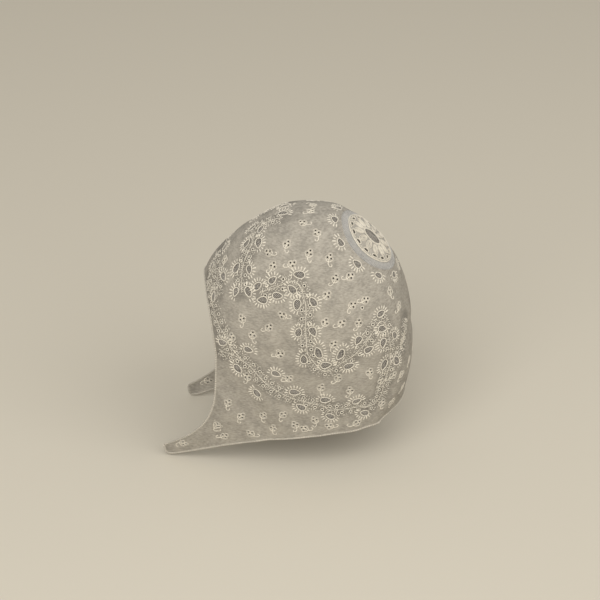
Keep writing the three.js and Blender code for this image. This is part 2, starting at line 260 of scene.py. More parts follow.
def blend(
    before: np.ndarray, start: np.ndarray, end: np.ndarray, after: np.ndarray, share: np.ndarray
) -> np.ndarray:
    """Catmull-Rom value between four evenly spaced ones.

    Args:
        before: Value one step before start.
        start: Value at share 0.
        end: Value at share 1.
        after: Value one step past end.
        share: From 0 to 1.

    Returns:
        The value there.
    """
    linear = end - before
    square = 2 * before - 5 * start + 4 * end - after
    cube = 3 * (start - end) + after - before
    return start + 0.5 * share * (linear + share * (square + share * cube))


@dataclass(frozen=True)
class ClothFrames:
    """Places on the cloth with their directions.

    Attributes:
        point: Places, (..., 3).
        normal: Outward unit normals.
        backward: Unit directions of growing hoop.
        leftward: Unit directions of growing around.
        hoop_rate: The place's change for one hoop, (..., 3).
        around_rate: The place's change for one unit of around, (..., 3).
    """

    point: np.ndarray
    normal: np.ndarray
    backward: np.ndarray
    leftward: np.ndarray
    hoop_rate: np.ndarray
    around_rate: np.ndarray


@dataclass(frozen=True)
class CapForm:
    """The cap's outer surface, as the part has it."""

    depth: float = 210 * MM
    height: float = 261 * MM
    half_width: float = 79 * MM
    muslin: float = 1 * MM
    roundness: float = 0.92
    flare_power: float = 1.5
    side: float = 0.5
    nudge: float = 1e-3

    def measures(self, hoop: np.ndarray) -> np.ndarray:
        """The hoops' columns at any hoop.

        Args:
            hoop: An array of hoops.

        Returns:
            An array with one more axis, of the columns.
        """
        table = np.array(HOOPS, float)
        padded = np.vstack([2 * table[0] - table[1], table, 2 * table[-1] - table[-2]])
        index = np.clip(np.floor(hoop).astype(int), 0, LAST_HOOP - 1)
        share = (hoop - index)[..., None]
        return blend(*(padded[index + k] for k in range(4)), share)

    def smooth(self, hoop: np.ndarray, around: np.ndarray) -> np.ndarray:
        """Places on the surface before its folds.

        Args:
            hoop: An array of hoops.
            around: An array of the same shape.

        Returns:
            The places, with one more axis of X, Y and Z.
        """
        columns = np.moveaxis(self.measures(hoop), -1, 0)
        top_y, top_z, side_x, side_y, side_z, hem_x, hem_y, hem_z, bend, flare, turn = columns
        side_turn = turn * math.pi / 2
        climb = np.minimum(np.abs(around) / self.side, 1) * side_turn
        outward = (np.sin(climb) / np.sin(side_turn)) ** self.roundness
        at_side = np.maximum(np.cos(side_turn), 0) ** self.roundness
        upward = (np.maximum(np.cos(climb), 0) ** self.roundness - at_side) / (1 - at_side)
        fall = np.clip((np.abs(around) - self.side) / (1 - self.side), 0, 1)
        sweep = fall ** np.maximum(bend, 1)
        back = flare * outward**self.flare_power + (1 - flare) * (1 - upward)
        x = side_x * outward + (hem_x - side_x) * sweep
        y = top_y + (side_y - top_y) * back + (hem_y - side_y) * sweep
        z = side_z + (top_z - side_z) * upward + (hem_z - side_z) * fall
        across = np.sign(around) * x * self.half_width
        return np.stack([across, y * self.depth, self.muslin - z * self.height], -1)

    def frames(self, surface: "callable", hoop: np.ndarray, around: np.ndarray) -> ClothFrames:
        """Places on a surface with their directions.

        Args:
            surface: One of this form's surfaces.
            hoop: An array of hoops.
            around: An array of the same shape.

        Returns:
            The frames.
        """
        low_hoop, high_hoop = np.maximum(hoop - self.nudge, 0), np.minimum(hoop + self.nudge, LAST_HOOP)
        low, high = np.maximum(around - self.nudge, -1), np.minimum(around + self.nudge, 1)
        hoop_rate = surface(high_hoop, around) - surface(low_hoop, around)
        hoop_rate = hoop_rate / (high_hoop - low_hoop)[..., None]
        around_rate = (surface(hoop, high) - surface(hoop, low)) / (high - low)[..., None]
        backward, leftward = unit(hoop_rate), unit(around_rate)
        normal = unit(np.cross(leftward, backward))
        return ClothFrames(surface(hoop, around), normal, backward, leftward, hoop_rate, around_rate)

    def outer(self, hoop: np.ndarray, around: np.ndarray) -> np.ndarray:
        """Places on the surface with its folds.

        Args:
            hoop: An array of hoops.
            around: An array of the same shape.

        Returns:
            The places.
        """
        hoop, around = np.broadcast_arrays(np.asarray(hoop, float), np.asarray(around, float))
        here = self.frames(self.smooth, hoop, around)
        lift = np.zeros(hoop.shape)
        for fold_hoop, fold_around, across, along, depth in FOLDS:
            for side in (1, -1):
                fold = self.frames(self.smooth, np.array(fold_hoop, float), np.array(side * fold_around))
                offset = (here.point - fold.point) / self.half_width
                across_share = offset @ fold.backward / across
                down_share = offset @ fold.leftward / along
                lift = lift + depth * np.exp(-(across_share**2) - down_share**2)
        return here.point + here.normal * (lift * self.half_width)[..., None]


@dataclass
class Cloth:
    """The muslin's outer face, sampled once over the whole cap so that everything sewn to it fits.

    Attributes:
        form: The cap's outer surface.
        under: How far the face lies inside that surface.
        hoop_samples: Samples from front edge to nape.
        around_samples: Samples from lower edge to lower edge.
        ripples: How many slow waves crumple the cloth.
        ripple_height: The height of one such wave.
        seed: Start of the waves' random draws.
    """

    form: CapForm = field(default_factory=CapForm)
    under: float = 0.35 * MM
    hoop_samples: int = 361
    around_samples: int = 401
    ripples: int = 9
    ripple_height: float = 0.085 * MM
    seed: int = 12
    points: np.ndarray = field(init=False)
    normals: np.ndarray = field(init=False)

    def __post_init__(self) -> None:
        """Samples the face and its normals."""
        hoop, around = np.meshgrid(
            np.linspace(0, LAST_HOOP, self.hoop_samples),
            np.linspace(-1, 1, self.around_samples),
            indexing="ij",
        )
        frames = self.form.frames(self.form.outer, hoop, around)
        lift = self.ripple(frames.point) - self.under
        self.points = frames.point + frames.normal * lift[..., None]
        self.normals = frames.normal

    def ripple(self, points: np.ndarray) -> np.ndarray:
        """How far the crumpled cloth stands off its smooth form.

        Args:
            points: Places, (..., 3).

        Returns:
            Heights, without the last axis.
        """
        draws = np.random.default_rng(self.seed)
        height = np.zeros(points.shape[:-1])
        for _ in range(self.ripples):
            heading = draws.normal(size=3) * (1, 1, 0.35)
            wave_length = draws.uniform(16, 55) * MM
            phase = draws.uniform(0, 2 * math.pi)
            along = points @ (heading / np.linalg.norm(heading)) / wave_length
            height += self.ripple_height * np.sin(2 * math.pi * along + phase)
        return height

    def at(self, hoop: np.ndarray, around: np.ndarray) -> tuple[np.ndarray, np.ndarray]:
        """Places and normals on the face.

        Args:
            hoop: An array of hoops.
            around: An array of the same shape.

        Returns:
            The places and the unit normals.
        """
        row = np.clip(np.asarray(hoop) / LAST_HOOP, 0, 1) * (self.hoop_samples - 1)
        column = (np.clip(np.asarray(around), -1, 1) + 1) / 2 * (self.around_samples - 1)
        i = np.minimum(row.astype(int), self.hoop_samples - 2)
        j = np.minimum(column.astype(int), self.around_samples - 2)
        f, g = (row - i)[..., None], (column - j)[..., None]

        def mixed(values: np.ndarray) -> np.ndarray:
            """Values between the four samples round each place."""
            near = values[i, j] * (1 - g) + values[i, j + 1] * g
            far = values[i + 1, j] * (1 - g) + values[i + 1, j + 1] * g
            return near * (1 - f) + far * f

        return mixed(self.points), unit(mixed(self.normals))


@dataclass(frozen=True)
class Anchors:
    """Places on the cloth's left side, each with a heading, that small shapes are laid on.

    Attributes:
        form: The cap's outer surface.
        hoop: Hoops, (N,).
        around: Arounds, (N,).
        heading: Directions along the cloth, (N, 3).
    """

    form: CapForm
    hoop: np.ndarray
    around: np.ndarray
    heading: np.ndarray

    def wrap(self, x: np.ndarray, y: np.ndarray) -> np.ndarray:
        """Lays local shapes on the cloth.

        Args:
            x: Ways along the headings, (K,) or (N, K).
            y: Ways to the left of the headings, of the same shape.

        Returns:
            Hoops and arounds, (N, K, 2).
        """
        frames = self.form.frames(self.form.outer, self.hoop, self.around)
        ahead = unit(self.heading - frames.normal * np.sum(self.heading * frames.normal, -1)[:, None])
        aside = np.cross(frames.normal, ahead)
        dot = lambda a, b: np.sum(a * b, -1)[:, None]  # noqa: E731
        hx, ax = dot(frames.hoop_rate, ahead), dot(frames.around_rate, ahead)
        hy, ay = dot(frames.hoop_rate, aside), dot(frames.around_rate, aside)
        area = hx * ay - ax * hy
        x, y = np.broadcast_arrays(np.atleast_2d(x), np.atleast_2d(y))
        hoop = self.hoop[:, None] + (x * ay - y * ax) / area
        around = self.around[:, None] + (y * hx - x * hy) / area
        return np.stack(np.broadcast_arrays(hoop, around), -1)


def both_sides(places: np.ndarray) -> np.ndarray:
    """Places on the left and, after them, the same ones mirrored to the right.

    Args:
        places: Hoops and arounds, (N, ..., 2).

    Returns:
        An array twice as long.
    """
    return np.concatenate([places, places * (1, -1)])


def tubes(
    paths: np.ndarray,
    normals: np.ndarray,
    half_width: float,
    half_height: float,
    sides: int = 6,
    ends: Ends = Ends.OPEN,
) -> Soup:
    """Cords with an oval section along paths.

    Args:
        paths: Places, (N, K, 3).
        normals: The cloth's normals there.
        half_width: Half the cord's size along the cloth.
        half_height: Half its size off the cloth.
        sides: Faces round a cord.
        ends: Whether each cord runs back into itself.

    Returns:
        The cords, closed.
    """
    count, stations = paths.shape[:2]
    closed = ends is Ends.CLOSED
    if closed:
        tangent = unit(np.roll(paths, -1, 1) - np.roll(paths, 1, 1))
    else:
        tangent = unit(np.gradient(paths, axis=1))
    across = unit(np.cross(tangent, normals))
    up = np.cross(across, tangent)
    turn = 2 * math.pi * np.arange(sides) / sides
    swell = np.ones(stations)
    if not closed:
        swell[0] = swell[-1] = 0.55
    ring = (
        across[:, :, None] * (np.cos(turn) * half_width)[:, None]
        + up[:, :, None] * (np.sin(turn) * half_height)[:, None]
    ) * swell[:, None, None]
    points = (paths[:, :, None] + ring).reshape(-1, 3)
    spans = stations if closed else stations - 1
    n, k, s = np.meshgrid(np.arange(count), np.arange(spans), np.arange(sides), indexing="ij")
    at = lambda k, s: (n * stations + k % stations) * sides + s % sides  # noqa: E731
    quads = np.stack([at(k, s), at(k + 1, s), at(k + 1, s + 1), at(k, s + 1)], -1).reshape(-1, 4)
    faces = [tuple(face) for face in quads.tolist()]
    if not closed:
        first = np.arange(count) * stations * sides
        last = first + (stations - 1) * sides
        turns = np.arange(sides)
        faces += [tuple(face) for face in (first[:, None] + turns).tolist()]
        faces += [tuple(face) for face in (last[:, None] + turns[::-1]).tolist()]
    return Soup(points, faces)


def turns_left(outline: np.ndarray) -> bool:
    """Whether a closed outline, (K, 2), runs counter-clockwise."""
    x, y = outline.T
    return float(np.sum(x * np.roll(y, -1) - np.roll(x, -1) * y)) > 0


@dataclass(frozen=True)
class PiercedSheet:
    """A flat sheet with holes, cut into triangles that follow the holes' edges.

    Attributes:
        clear: Grid points nearer to a hole's edge than this are left out.
    """

    clear: float = 0.9 * MM

    def cut(self, grid: np.ndarray, holes: list[np.ndarray]) -> tuple[np.ndarray, np.ndarray]:
        """Triangles over the grid's outline, without the holes.

        Args:
            grid: Points, (N, 2).
            holes: Closed outlines, each (K, 2).

        Returns:
            The points in use and the triangles.
        """
        holes = [hole if turns_left(hole) else hole[::-1] for hole in holes]
        rim = np.concatenate(holes)
        tree = kdtree.KDTree(len(rim))
        for k, point in enumerate(rim):
            tree.insert((*point, 0), k)
        tree.balance()
        kept = [p for p in grid.tolist() if tree.find((*p, 0))[2] > self.clear]
        vertices = [Vector(p) for p in rim.tolist()] + [Vector(p) for p in kept]
        loops, start = [], 0
        for hole in holes:
            loops.append(list(range(start, start + len(hole))))
            start += len(hole)
        points, _, faces, _, _, origins = delaunay_2d_cdt(vertices, [], loops, 0, 1e-7, True)
        cloth = np.array([face for face, inside in zip(faces, origins) if not inside])
        used, flat = np.unique(cloth, return_inverse=True)
        return np.array(points)[used], flat.reshape(-1, 3)

    def walled(self, outer: np.ndarray, inner: np.ndarray, triangles: np.ndarray) -> Soup:
        """A sheet with its two faces and the walls along its edges.

        Args:
            outer: Places of the outer face, (N, 3).
            inner: Places of the inner face, (N, 3).
            triangles: Triangles of the outer face.

        Returns:
            The closed sheet.
        """
        count = len(outer)
        edges = np.concatenate([triangles[:, [0, 1]], triangles[:, [1, 2]], triangles[:, [2, 0]]])
        key = np.sort(edges, 1)
        _, where, uses = np.unique(key, axis=0, return_index=True, return_counts=True)
        rim = edges[where[uses == 1]]
        walls = np.stack([rim[:, 1], rim[:, 0], rim[:, 0] + count, rim[:, 1] + count], -1)
        faces = [tuple(f) for f in triangles.tolist()]
        faces += [tuple(f) for f in (triangles[:, ::-1] + count).tolist()]
        faces += [tuple(f) for f in walls.tolist()]
        return Soup(np.concatenate([outer, inner]), faces)


@dataclass(frozen=True)
class Finish:
    """A cloth or thread finish.

    Attributes:
        name: The material's name.
        slot: The record's slot that it belongs to. Not used.
        pale: Colour of the raised or bleached places, in linear light.
        dull: Colour of the soiled or sunken places.
        roughness: The surface's roughness.
        sheen: How much the fibres' ends catch the light.
        mottle_size: Size of the patches, in metres.
        mottle_share: How far the patches reach from pale to dull.
        weave_pitch: Thread to thread, in metres, or 0 for no weave.
        bump: Height of the grain, in metres.
        painted_stitch_shade: Painted shade among the stitches: how much darker the colour is made where the cloth is
            closely stitched.
    """

    name: str
    slot: str
    pale: tuple[float, float, float]
    dull: tuple[float, float, float]
    roughness: float = 0.9
    sheen: float = 0.2
    mottle_size: float = 14 * MM
    mottle_share: float = 1.0
    weave_pitch: float = 0.0
    bump: float = 0.05 * MM
    painted_stitch_shade: float = 0.0

    def made(self) -> bpy.types.Material:
        """The Blender material."""
        material = bpy.data.materials.new(self.name)
        material.use_nodes = True
        tree = material.node_tree
        shader = tree.nodes["Principled BSDF"]
        shader.inputs["Roughness"].default_value = self.roughness
        shader.inputs["Sheen Weight"].default_value = self.sheen
        shader.inputs["Sheen Roughness"].default_value = 0.6
        shader.inputs["Specular IOR Level"].default_value = 0.2
        mottle = tree.nodes.new("ShaderNodeGroup")
        mottle.node_tree = mottle_group()
        mottle.inputs["Pale"].default_value = (*self.pale, 1)
        mottle.inputs["Dull"].default_value = (*self.dull, 1)
        mottle.inputs["Patch Scale"].default_value = 1 / self.mottle_size
        mottle.inputs["Reach"].default_value = self.mottle_share
        # Painted shade: the colour is darkened where the worked attribute marks closely stitched ground, standing in
        # for the shade among the stitches.
        ground = tree.nodes.new("ShaderNodeAttribute")
        ground.attribute_name = "worked"
        shade = tree.nodes.new("ShaderNodeMath")
        shade.operation = "MULTIPLY"
        shade.inputs[1].default_value = self.painted_stitch_shade
        dimmed = tree.nodes.new("ShaderNodeMix")
        dimmed.data_type = "RGBA"
        dimmed.inputs["B"].default_value = (0, 0, 0, 1)
        tree.links.new(ground.outputs["Fac"], shade.inputs[0])
        tree.links.new(shade.outputs[0], dimmed.inputs["Factor"])
        tree.links.new(mottle.outputs["Color"], dimmed.inputs["A"])
        tree.links.new(dimmed.outputs["Result"], shader.inputs["Base Color"])
        bump = tree.nodes.new("ShaderNodeBump")
        bump.inputs["Distance"].default_value = self.bump
        bump.inputs["Strength"].default_value = 1
        tree.links.new(bump.outputs["Normal"], shader.inputs["Normal"])
        if self.weave_pitch:
            weave = tree.nodes.new("ShaderNodeGroup")
            weave.node_tree = weave_group()
            weave.inputs["Threads"].default_value = 2 * math.pi / self.weave_pitch
            tree.links.new(weave.outputs["Height"], bump.inputs["Height"])
        else:
            tree.links.new(mottle.outputs["Grain"], bump.inputs["Height"])
        return material


def shader_group(name: str, inputs: dict[str, tuple[str, object]], outputs: dict[str, str]) -> bpy.types.NodeTree:
    """A new shader node group with its sockets.

    Args:
        name: The group's name.
        inputs: Socket type and value for each input.
        outputs: Socket type for each output.

    Returns:
        The group, with an input and an output node.
    """
    group = bpy.data.node_groups.new(name, "ShaderNodeTree")
    for label, (kind, value) in inputs.items():
        socket = group.interface.new_socket(label, in_out="INPUT", socket_type=kind)
        socket.default_value = value
    for label, kind in outputs.items():
        group.interface.new_socket(label, in_out="OUTPUT", socket_type=kind)
    group.nodes.new("NodeGroupInput")
    group.nodes.new("NodeGroupOutput")
    return group


def mottle_group() -> bpy.types.NodeTree:
    """The shared group that mottles cloth and thread as age and washing do."""
    name = "aged mottle"
    if name in bpy.data.node_groups:
        return bpy.data.node_groups[name]
    colour, number = "NodeSocketColor", "NodeSocketFloat"
    group = shader_group(
        name,
        {
            "Pale": (colour, (0.5, 0.5, 0.5, 1)),
            "Dull": (colour, (0.3, 0.3, 0.3, 1)),
            "Patch Scale": (number, 60.0),
            "Reach": (number, 1.0),
        },
        {"Color": colour, "Grain": number},
    )
    nodes, links = group.nodes, group.links
    source, sink = nodes["Group Input"], nodes["Group Output"]
    place = nodes.new("ShaderNodeTexCoord").outputs["Object"]
    patches = nodes.new("ShaderNodeTexNoise")
    patches.inputs["Detail"].default_value = 5
    patches.inputs["Roughness"].default_value = 0.62
    fine = nodes.new("ShaderNodeTexNoise")
    fine.inputs["Scale"].default_value = 900
    fine.inputs["Detail"].default_value = 2
    slub = nodes.new("ShaderNodeTexNoise")
    slub.inputs["Scale"].default_value = 1
    slub.inputs["Detail"].default_value = 2
    drawn = nodes.new("ShaderNodeVectorMath")
    drawn.operation = "MULTIPLY"
    drawn.inputs[1].default_value = (300, 300, 900)
    summed = nodes.new("ShaderNodeMath")
    summed.operation = "MULTIPLY_ADD"
    summed.inputs[1].default_value = 1.1
    links.new(place, drawn.inputs[0])
    links.new(drawn.outputs[0], slub.inputs["Vector"])
    links.new(slub.outputs["Fac"], summed.inputs[0])
    spread = nodes.new("ShaderNodeMapRange")
    spread.inputs["From Min"].default_value = 0.82
    spread.inputs["From Max"].default_value = 1.28
    reach = nodes.new("ShaderNodeMath")
    reach.operation = "MULTIPLY"
    mix = nodes.new("ShaderNodeMix")
    mix.data_type = "RGBA"
    links.new(place, patches.inputs["Vector"])
    links.new(place, fine.inputs["Vector"])
    links.new(source.outputs["Patch Scale"], patches.inputs["Scale"])
    links.new(patches.outputs["Fac"], summed.inputs[2])
    links.new(summed.outputs[0], spread.inputs["Value"])
    links.new(spread.outputs["Result"], reach.inputs[0])
    links.new(source.outputs["Reach"], reach.inputs[1])
    links.new(reach.outputs[0], mix.inputs["Factor"])
    links.new(source.outputs["Pale"], mix.inputs["A"])
    links.new(source.outputs["Dull"], mix.inputs["B"])
    links.new(mix.outputs["Result"], sink.inputs["Color"])
    links.new(fine.outputs["Fac"], sink.inputs["Grain"])
    return group


def weave_group() -> bpy.types.NodeTree:
    """The shared group that gives the height of a plain weave from a piece's own UV map, in metres."""
    name = "plain weave"
    if name in bpy.data.node_groups:
        return bpy.data.node_groups[name]
    number = "NodeSocketFloat"
    group = shader_group(name, {"Threads": (number, 10000.0)}, {"Height": number})
    nodes, links = group.nodes, group.links
    source, sink = nodes["Group Input"], nodes["Group Output"]
    split = nodes.new("ShaderNodeSeparateXYZ")
    links.new(nodes.new("ShaderNodeUVMap").outputs["UV"], split.inputs["Vector"])
    waves = []
    for axis in ("X", "Y"):
        scaled = nodes.new("ShaderNodeMath")
        scaled.operation = "MULTIPLY"
        wave = nodes.new("ShaderNodeMath")
        wave.operation = "SINE"
        links.new(split.outputs[axis], scaled.inputs[0])
        links.new(source.outputs["Threads"], scaled.inputs[1])
        links.new(scaled.outputs[0], wave.inputs[0])
        waves.append(wave)
    crossing = nodes.new("ShaderNodeMath")
    crossing.operation = "MULTIPLY"
    links.new(waves[0].outputs[0], crossing.inputs[0])
    links.new(waves[1].outputs[0], crossing.inputs[1])
    links.new(crossing.outputs[0], sink.inputs["Height"])
    return group


MUSLIN = Finish(
    "aged muslin",
    "muslin",
    (0.425, 0.386, 0.32),
    (0.28, 0.255, 0.212),
    sheen=0.06,
    weave_pitch=0.7 * MM,
    # painted shade among the stitches beside the stems
    painted_stitch_shade=0.3,
)
NET = Finish("sheer net", "net", (0.62, 0.595, 0.55), (0.52, 0.5, 0.46), sheen=0.1, mottle_size=9 * MM)
WHITEWORK = Finish("white cotton", "whitework", (0.76, 0.7, 0.58), (0.64, 0.585, 0.48), mottle_size=8 * MM)
# Painted shade: a dark grey net set just behind each leaf hole and the medallion's oval, standing in for the shaded
# inside of the cap seen through them.
SHADE_NET = Finish("painted shade net", "net", (0.135, 0.125, 0.12), (0.1, 0.092, 0.088), sheen=0.05)
# Painted shadow: near-black threads behind the eyelets and the medallion's slots, standing in for the deep shade seen
# through the holes.
SHADOW_NET = Finish("painted shadow net", "net", (0.05, 0.046, 0.044), (0.035, 0.032, 0.03), sheen=0.0)
LEAF_THREAD = Finish("fine net thread", "whitework", (0.55, 0.5, 0.42), (0.45, 0.41, 0.34))
WORKED_CLOTH = Finish(
    "worked muslin", "whitework", (0.46, 0.42, 0.35), (0.33, 0.3, 0.245), mottle_size=6 * MM, weave_pitch=0.7 * MM
)
HEM = Finish("rolled hem", "hem", (0.47, 0.43, 0.355), (0.36, 0.33, 0.27), mottle_size=8 * MM)


@dataclass
class Workroom:
    """Turns meshes into finished pieces of the scene."""

    finishes: dict[str, bpy.types.Material] = field(default_factory=dict)
    pieces: dict[str, bpy.types.Object] = field(default_factory=dict)
    triangles: int = 0

    def finish(self, finish: Finish) -> bpy.types.Material:
        """The material of a finish, made once."""
        if finish.name not in self.finishes:
            self.finishes[finish.name] = finish.made()
        return self.finishes[finish.name]

    def add(
        self, name: str, mesh: bpy.types.Mesh, finish: Finish, stands_for: tuple[str, ...] = ()
    ) -> bpy.types.Object:
        """Adds a finished piece, on the cap's one body.

        Args:
            name: The piece's name.
            mesh: Its mesh, in the part's frame.
            finish: Its finish.
            stands_for: The part's nodes that it replaces.

        Returns:
            The piece.
        """
        mesh.materials.clear()
        mesh.materials.append(self.finish(finish))
        piece = bpy.data.objects.new(name, mesh)
        bpy.context.scene.collection.objects.link(piece)
        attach(piece, BODY)
        if stands_for:
            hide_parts(*stands_for)
        self.pieces[name] = piece
        mesh.calc_loop_triangles()
        self.triangles += len(mesh.loop_triangles)
        LOG.info("%s: %d triangles", name, len(mesh.loop_triangles))
        return piece


@dataclass(frozen=True)
class StitchPaths:
    """Lines on the cloth that stitches follow.

    Attributes:
        points: Places of each line, (K, 3) each.
        normals: The cloth's normals there.
        closed: Whether each line runs back into itself.
    """

    points: list
    normals: list
    closed: list

    def mesh(self) -> bpy.types.Mesh:
        """A mesh of bare edges or points that holds the lines and the normals along them."""
        edges, start = [], 0
        for line, closed in zip(self.points, self.closed):
            count = len(line)
            edges += [(start + k, start + k + 1) for k in range(count - 1)]
            if closed:
                edges.append((start + count - 1, start))
            start += count
        mesh = bpy.data.meshes.new("stitch_lines")
        mesh.from_pydata(np.concatenate(self.points).tolist(), edges, [])
        normal = mesh.attributes.new("cloth_normal", "FLOAT_VECTOR", "POINT")
        normal.data.foreach_set("vector", np.concatenate(self.normals).astype(np.float32).ravel())
        return mesh


def unit_stitch(sides: int, rings: tuple[tuple[float, float], ...]) -> bpy.types.Object:
    """A stitch of length, width and height 1, along X.

    Args:
        sides: Faces round it.
        rings: Place along it and size, from -0.5 to 0.5.

    Returns:
        An object that is in no collection.
    """
    turn = 2 * math.pi * np.arange(sides) / sides
    points = [
        (x, 0.5 * size * math.cos(t), 0.5 * size * math.sin(t)) for x, size in rings for t in turn
    ]
    faces = []
    for k in range(len(rings) - 1):
        for s in range(sides):
            a, b = k * sides + s, k * sides + (s + 1) % sides
            faces.append((a, b, b + sides, a + sides))
    last = (len(rings) - 1) * sides
    faces.append(tuple(range(sides))[::-1])
    faces.append(tuple(last + s for s in range(sides)))
    mesh = bpy.data.meshes.new("stitch")
    mesh.from_pydata(points, [], faces)
    mesh.shade_smooth()
    return bpy.data.objects.new("stitch", mesh)


def grown(
    name: str,
    carrier_mesh: bpy.types.Mesh,
    tree: bpy.types.NodeTree,
    values: dict[str, object],
    helper: bpy.types.Object,
) -> bpy.types.Mesh:
    """Runs a node tree on a carrier and keeps the result as a plain mesh.

    Args:
        name: The result's name.
        carrier_mesh: What the tree starts from.
        tree: The tree.
        values: Values of its named inputs.
        helper: An object that the tree places, removed afterwards.

    Returns:
        The mesh.
    """
    carrier = bpy.data.objects.new("stitch_carrier", carrier_mesh)
    bpy.context.scene.collection.objects.link(carrier)
    modifier = carrier.modifiers.new("stitches", "NODES")
    modifier.node_group = tree
    for item in tree.interface.items_tree:
        if item.in_out == "INPUT" and item.name in values:
            modifier[item.identifier] = values[item.name]
    bpy.context.view_layer.update()
    evaluated = carrier.evaluated_get(bpy.context.evaluated_depsgraph_get())
    mesh = bpy.data.meshes.new_from_object(evaluated)
    mesh.name = name
    carrier.modifiers.remove(modifier)
    bpy.data.objects.remove(carrier)
    bpy.data.objects.remove(helper)
    return mesh


@dataclass(frozen=True)
class StitchRow:
    """A node tree that lays one stitch again and again along lines on the cloth, and its settings.

    Attributes:
        pitch: Stitch to stitch.
        length: A stitch's length.
        width: A stitch's width.
        height: How far it stands off the cloth.
        lay: How it lies to the line.
        variation: Share by which the length of a stitch varies.
        seed: Start of the random draws.
    """

    pitch: float
    length: float
    width: float
    height: float
    lay: Lay = Lay.ALONG
    variation: float = 0.2
    seed: int = 4

    def tree(self) -> bpy.types.NodeTree:
        """The tree, built once and shared by every row."""
        name = "stitch row"
        if name in bpy.data.node_groups:
            return bpy.data.node_groups[name]
        tree = bpy.data.node_groups.new(name, "GeometryNodeTree")
        sockets = {
            "Geometry": "NodeSocketGeometry",
            "Stitch": "NodeSocketObject",
            "Pitch": "NodeSocketFloat",
            "Size": "NodeSocketVector",
            "Turn": "NodeSocketFloat",
            "Variation": "NodeSocketFloat",
            "Seed": "NodeSocketInt",
            "Material": "NodeSocketMaterial",
        }
        for label, kind in sockets.items():
            tree.interface.new_socket(label, in_out="INPUT", socket_type=kind)
        tree.interface.new_socket("Geometry", in_out="OUTPUT", socket_type="NodeSocketGeometry")
        nodes, link = tree.nodes, tree.links.new
        given = nodes.new("NodeGroupInput").outputs
        line = nodes.new("GeometryNodeMeshToCurve")
        spaced = nodes.new("GeometryNodeResampleCurve")
        spaced.mode = "LENGTH"
        normal = nodes.new("GeometryNodeInputNamedAttribute")
        normal.data_type = "FLOAT_VECTOR"
        normal.inputs["Name"].default_value = "cloth_normal"
        tangent = nodes.new("GeometryNodeInputTangent")
        upright = nodes.new("FunctionNodeAlignRotationToVector")
        upright.axis = "Z"
        facing = nodes.new("FunctionNodeAlignRotationToVector")
        facing.axis = "X"
        facing.pivot_axis = "Z"
        turned = nodes.new("FunctionNodeRotateRotation")
        turned.rotation_space = "LOCAL"
        about = nodes.new("FunctionNodeAxisAngleToRotation")
        about.inputs["Axis"].default_value = (0, 0, 1)
        least = nodes.new("ShaderNodeMath")
        least.operation = "SUBTRACT"
        least.inputs[0].default_value = 1
        most = nodes.new("ShaderNodeMath")
        most.operation = "ADD"
        most.inputs[0].default_value = 1
        random = nodes.new("FunctionNodeRandomValue")
        random.data_type = "FLOAT"
        scale = nodes.new("ShaderNodeVectorMath")
        scale.operation = "SCALE"
        shape = nodes.new("GeometryNodeObjectInfo")
        place = nodes.new("GeometryNodeInstanceOnPoints")
        real = nodes.new("GeometryNodeRealizeInstances")
        dressed = nodes.new("GeometryNodeSetMaterial")
        result = nodes.new("NodeGroupOutput")
        numbers = [s for s in random.inputs if s.type == "VALUE"]
        link(given["Geometry"], line.inputs[0])
        link(line.outputs[0], spaced.inputs["Curve"])
        link(given["Pitch"], spaced.inputs["Length"])
        link(normal.outputs["Attribute"], upright.inputs["Vector"])
        link(upright.outputs[0], facing.inputs["Rotation"])
        link(tangent.outputs[0], facing.inputs["Vector"])
        link(given["Turn"], about.inputs["Angle"])
        link(facing.outputs[0], turned.inputs["Rotation"])
        link(about.outputs[0], turned.inputs["Rotate By"])
        link(given["Variation"], least.inputs[1])
        link(given["Variation"], most.inputs[1])
        link(least.outputs[0], numbers[0])
        link(most.outputs[0], numbers[1])
        link(given["Seed"], random.inputs["Seed"])
        link(given["Size"], scale.inputs[0])
        link([s for s in random.outputs if s.type == "VALUE"][0], scale.inputs["Scale"])
        link(given["Stitch"], shape.inputs["Object"])
        link(spaced.outputs[0], place.inputs["Points"])
        link(shape.outputs["Geometry"], place.inputs["Instance"])
        link(turned.outputs[0], place.inputs["Rotation"])
        link(scale.outputs[0], place.inputs["Scale"])
        link(place.outputs[0], real.inputs[0])
        link(real.outputs[0], dressed.inputs["Geometry"])
        link(given["Material"], dressed.inputs["Material"])
        link(dressed.outputs[0], result.inputs[0])
        return tree

    def sewn(self, name: str, paths: StitchPaths, material: bpy.types.Material) -> bpy.types.Mesh:
        """A plain mesh of the stitches along lines.

        Args:
            name: The mesh's name.
            paths: The lines.
            material: The stitches' material.

        Returns:
            The mesh.
        """
        stitch = unit_stitch(5, ((-0.5, 0.35), (-0.3, 0.92), (0.05, 1.0), (0.35, 0.85), (0.5, 0.3)))
        values = {
            "Stitch": stitch,
            "Pitch": self.pitch,
            "Size": (self.length, self.width, self.height),
            "Turn": self.lay.value,
            "Variation": self.variation,
            "Seed": self.seed,
            "Material": material,
        }
        return grown(name, paths.mesh(), self.tree(), values, stitch)


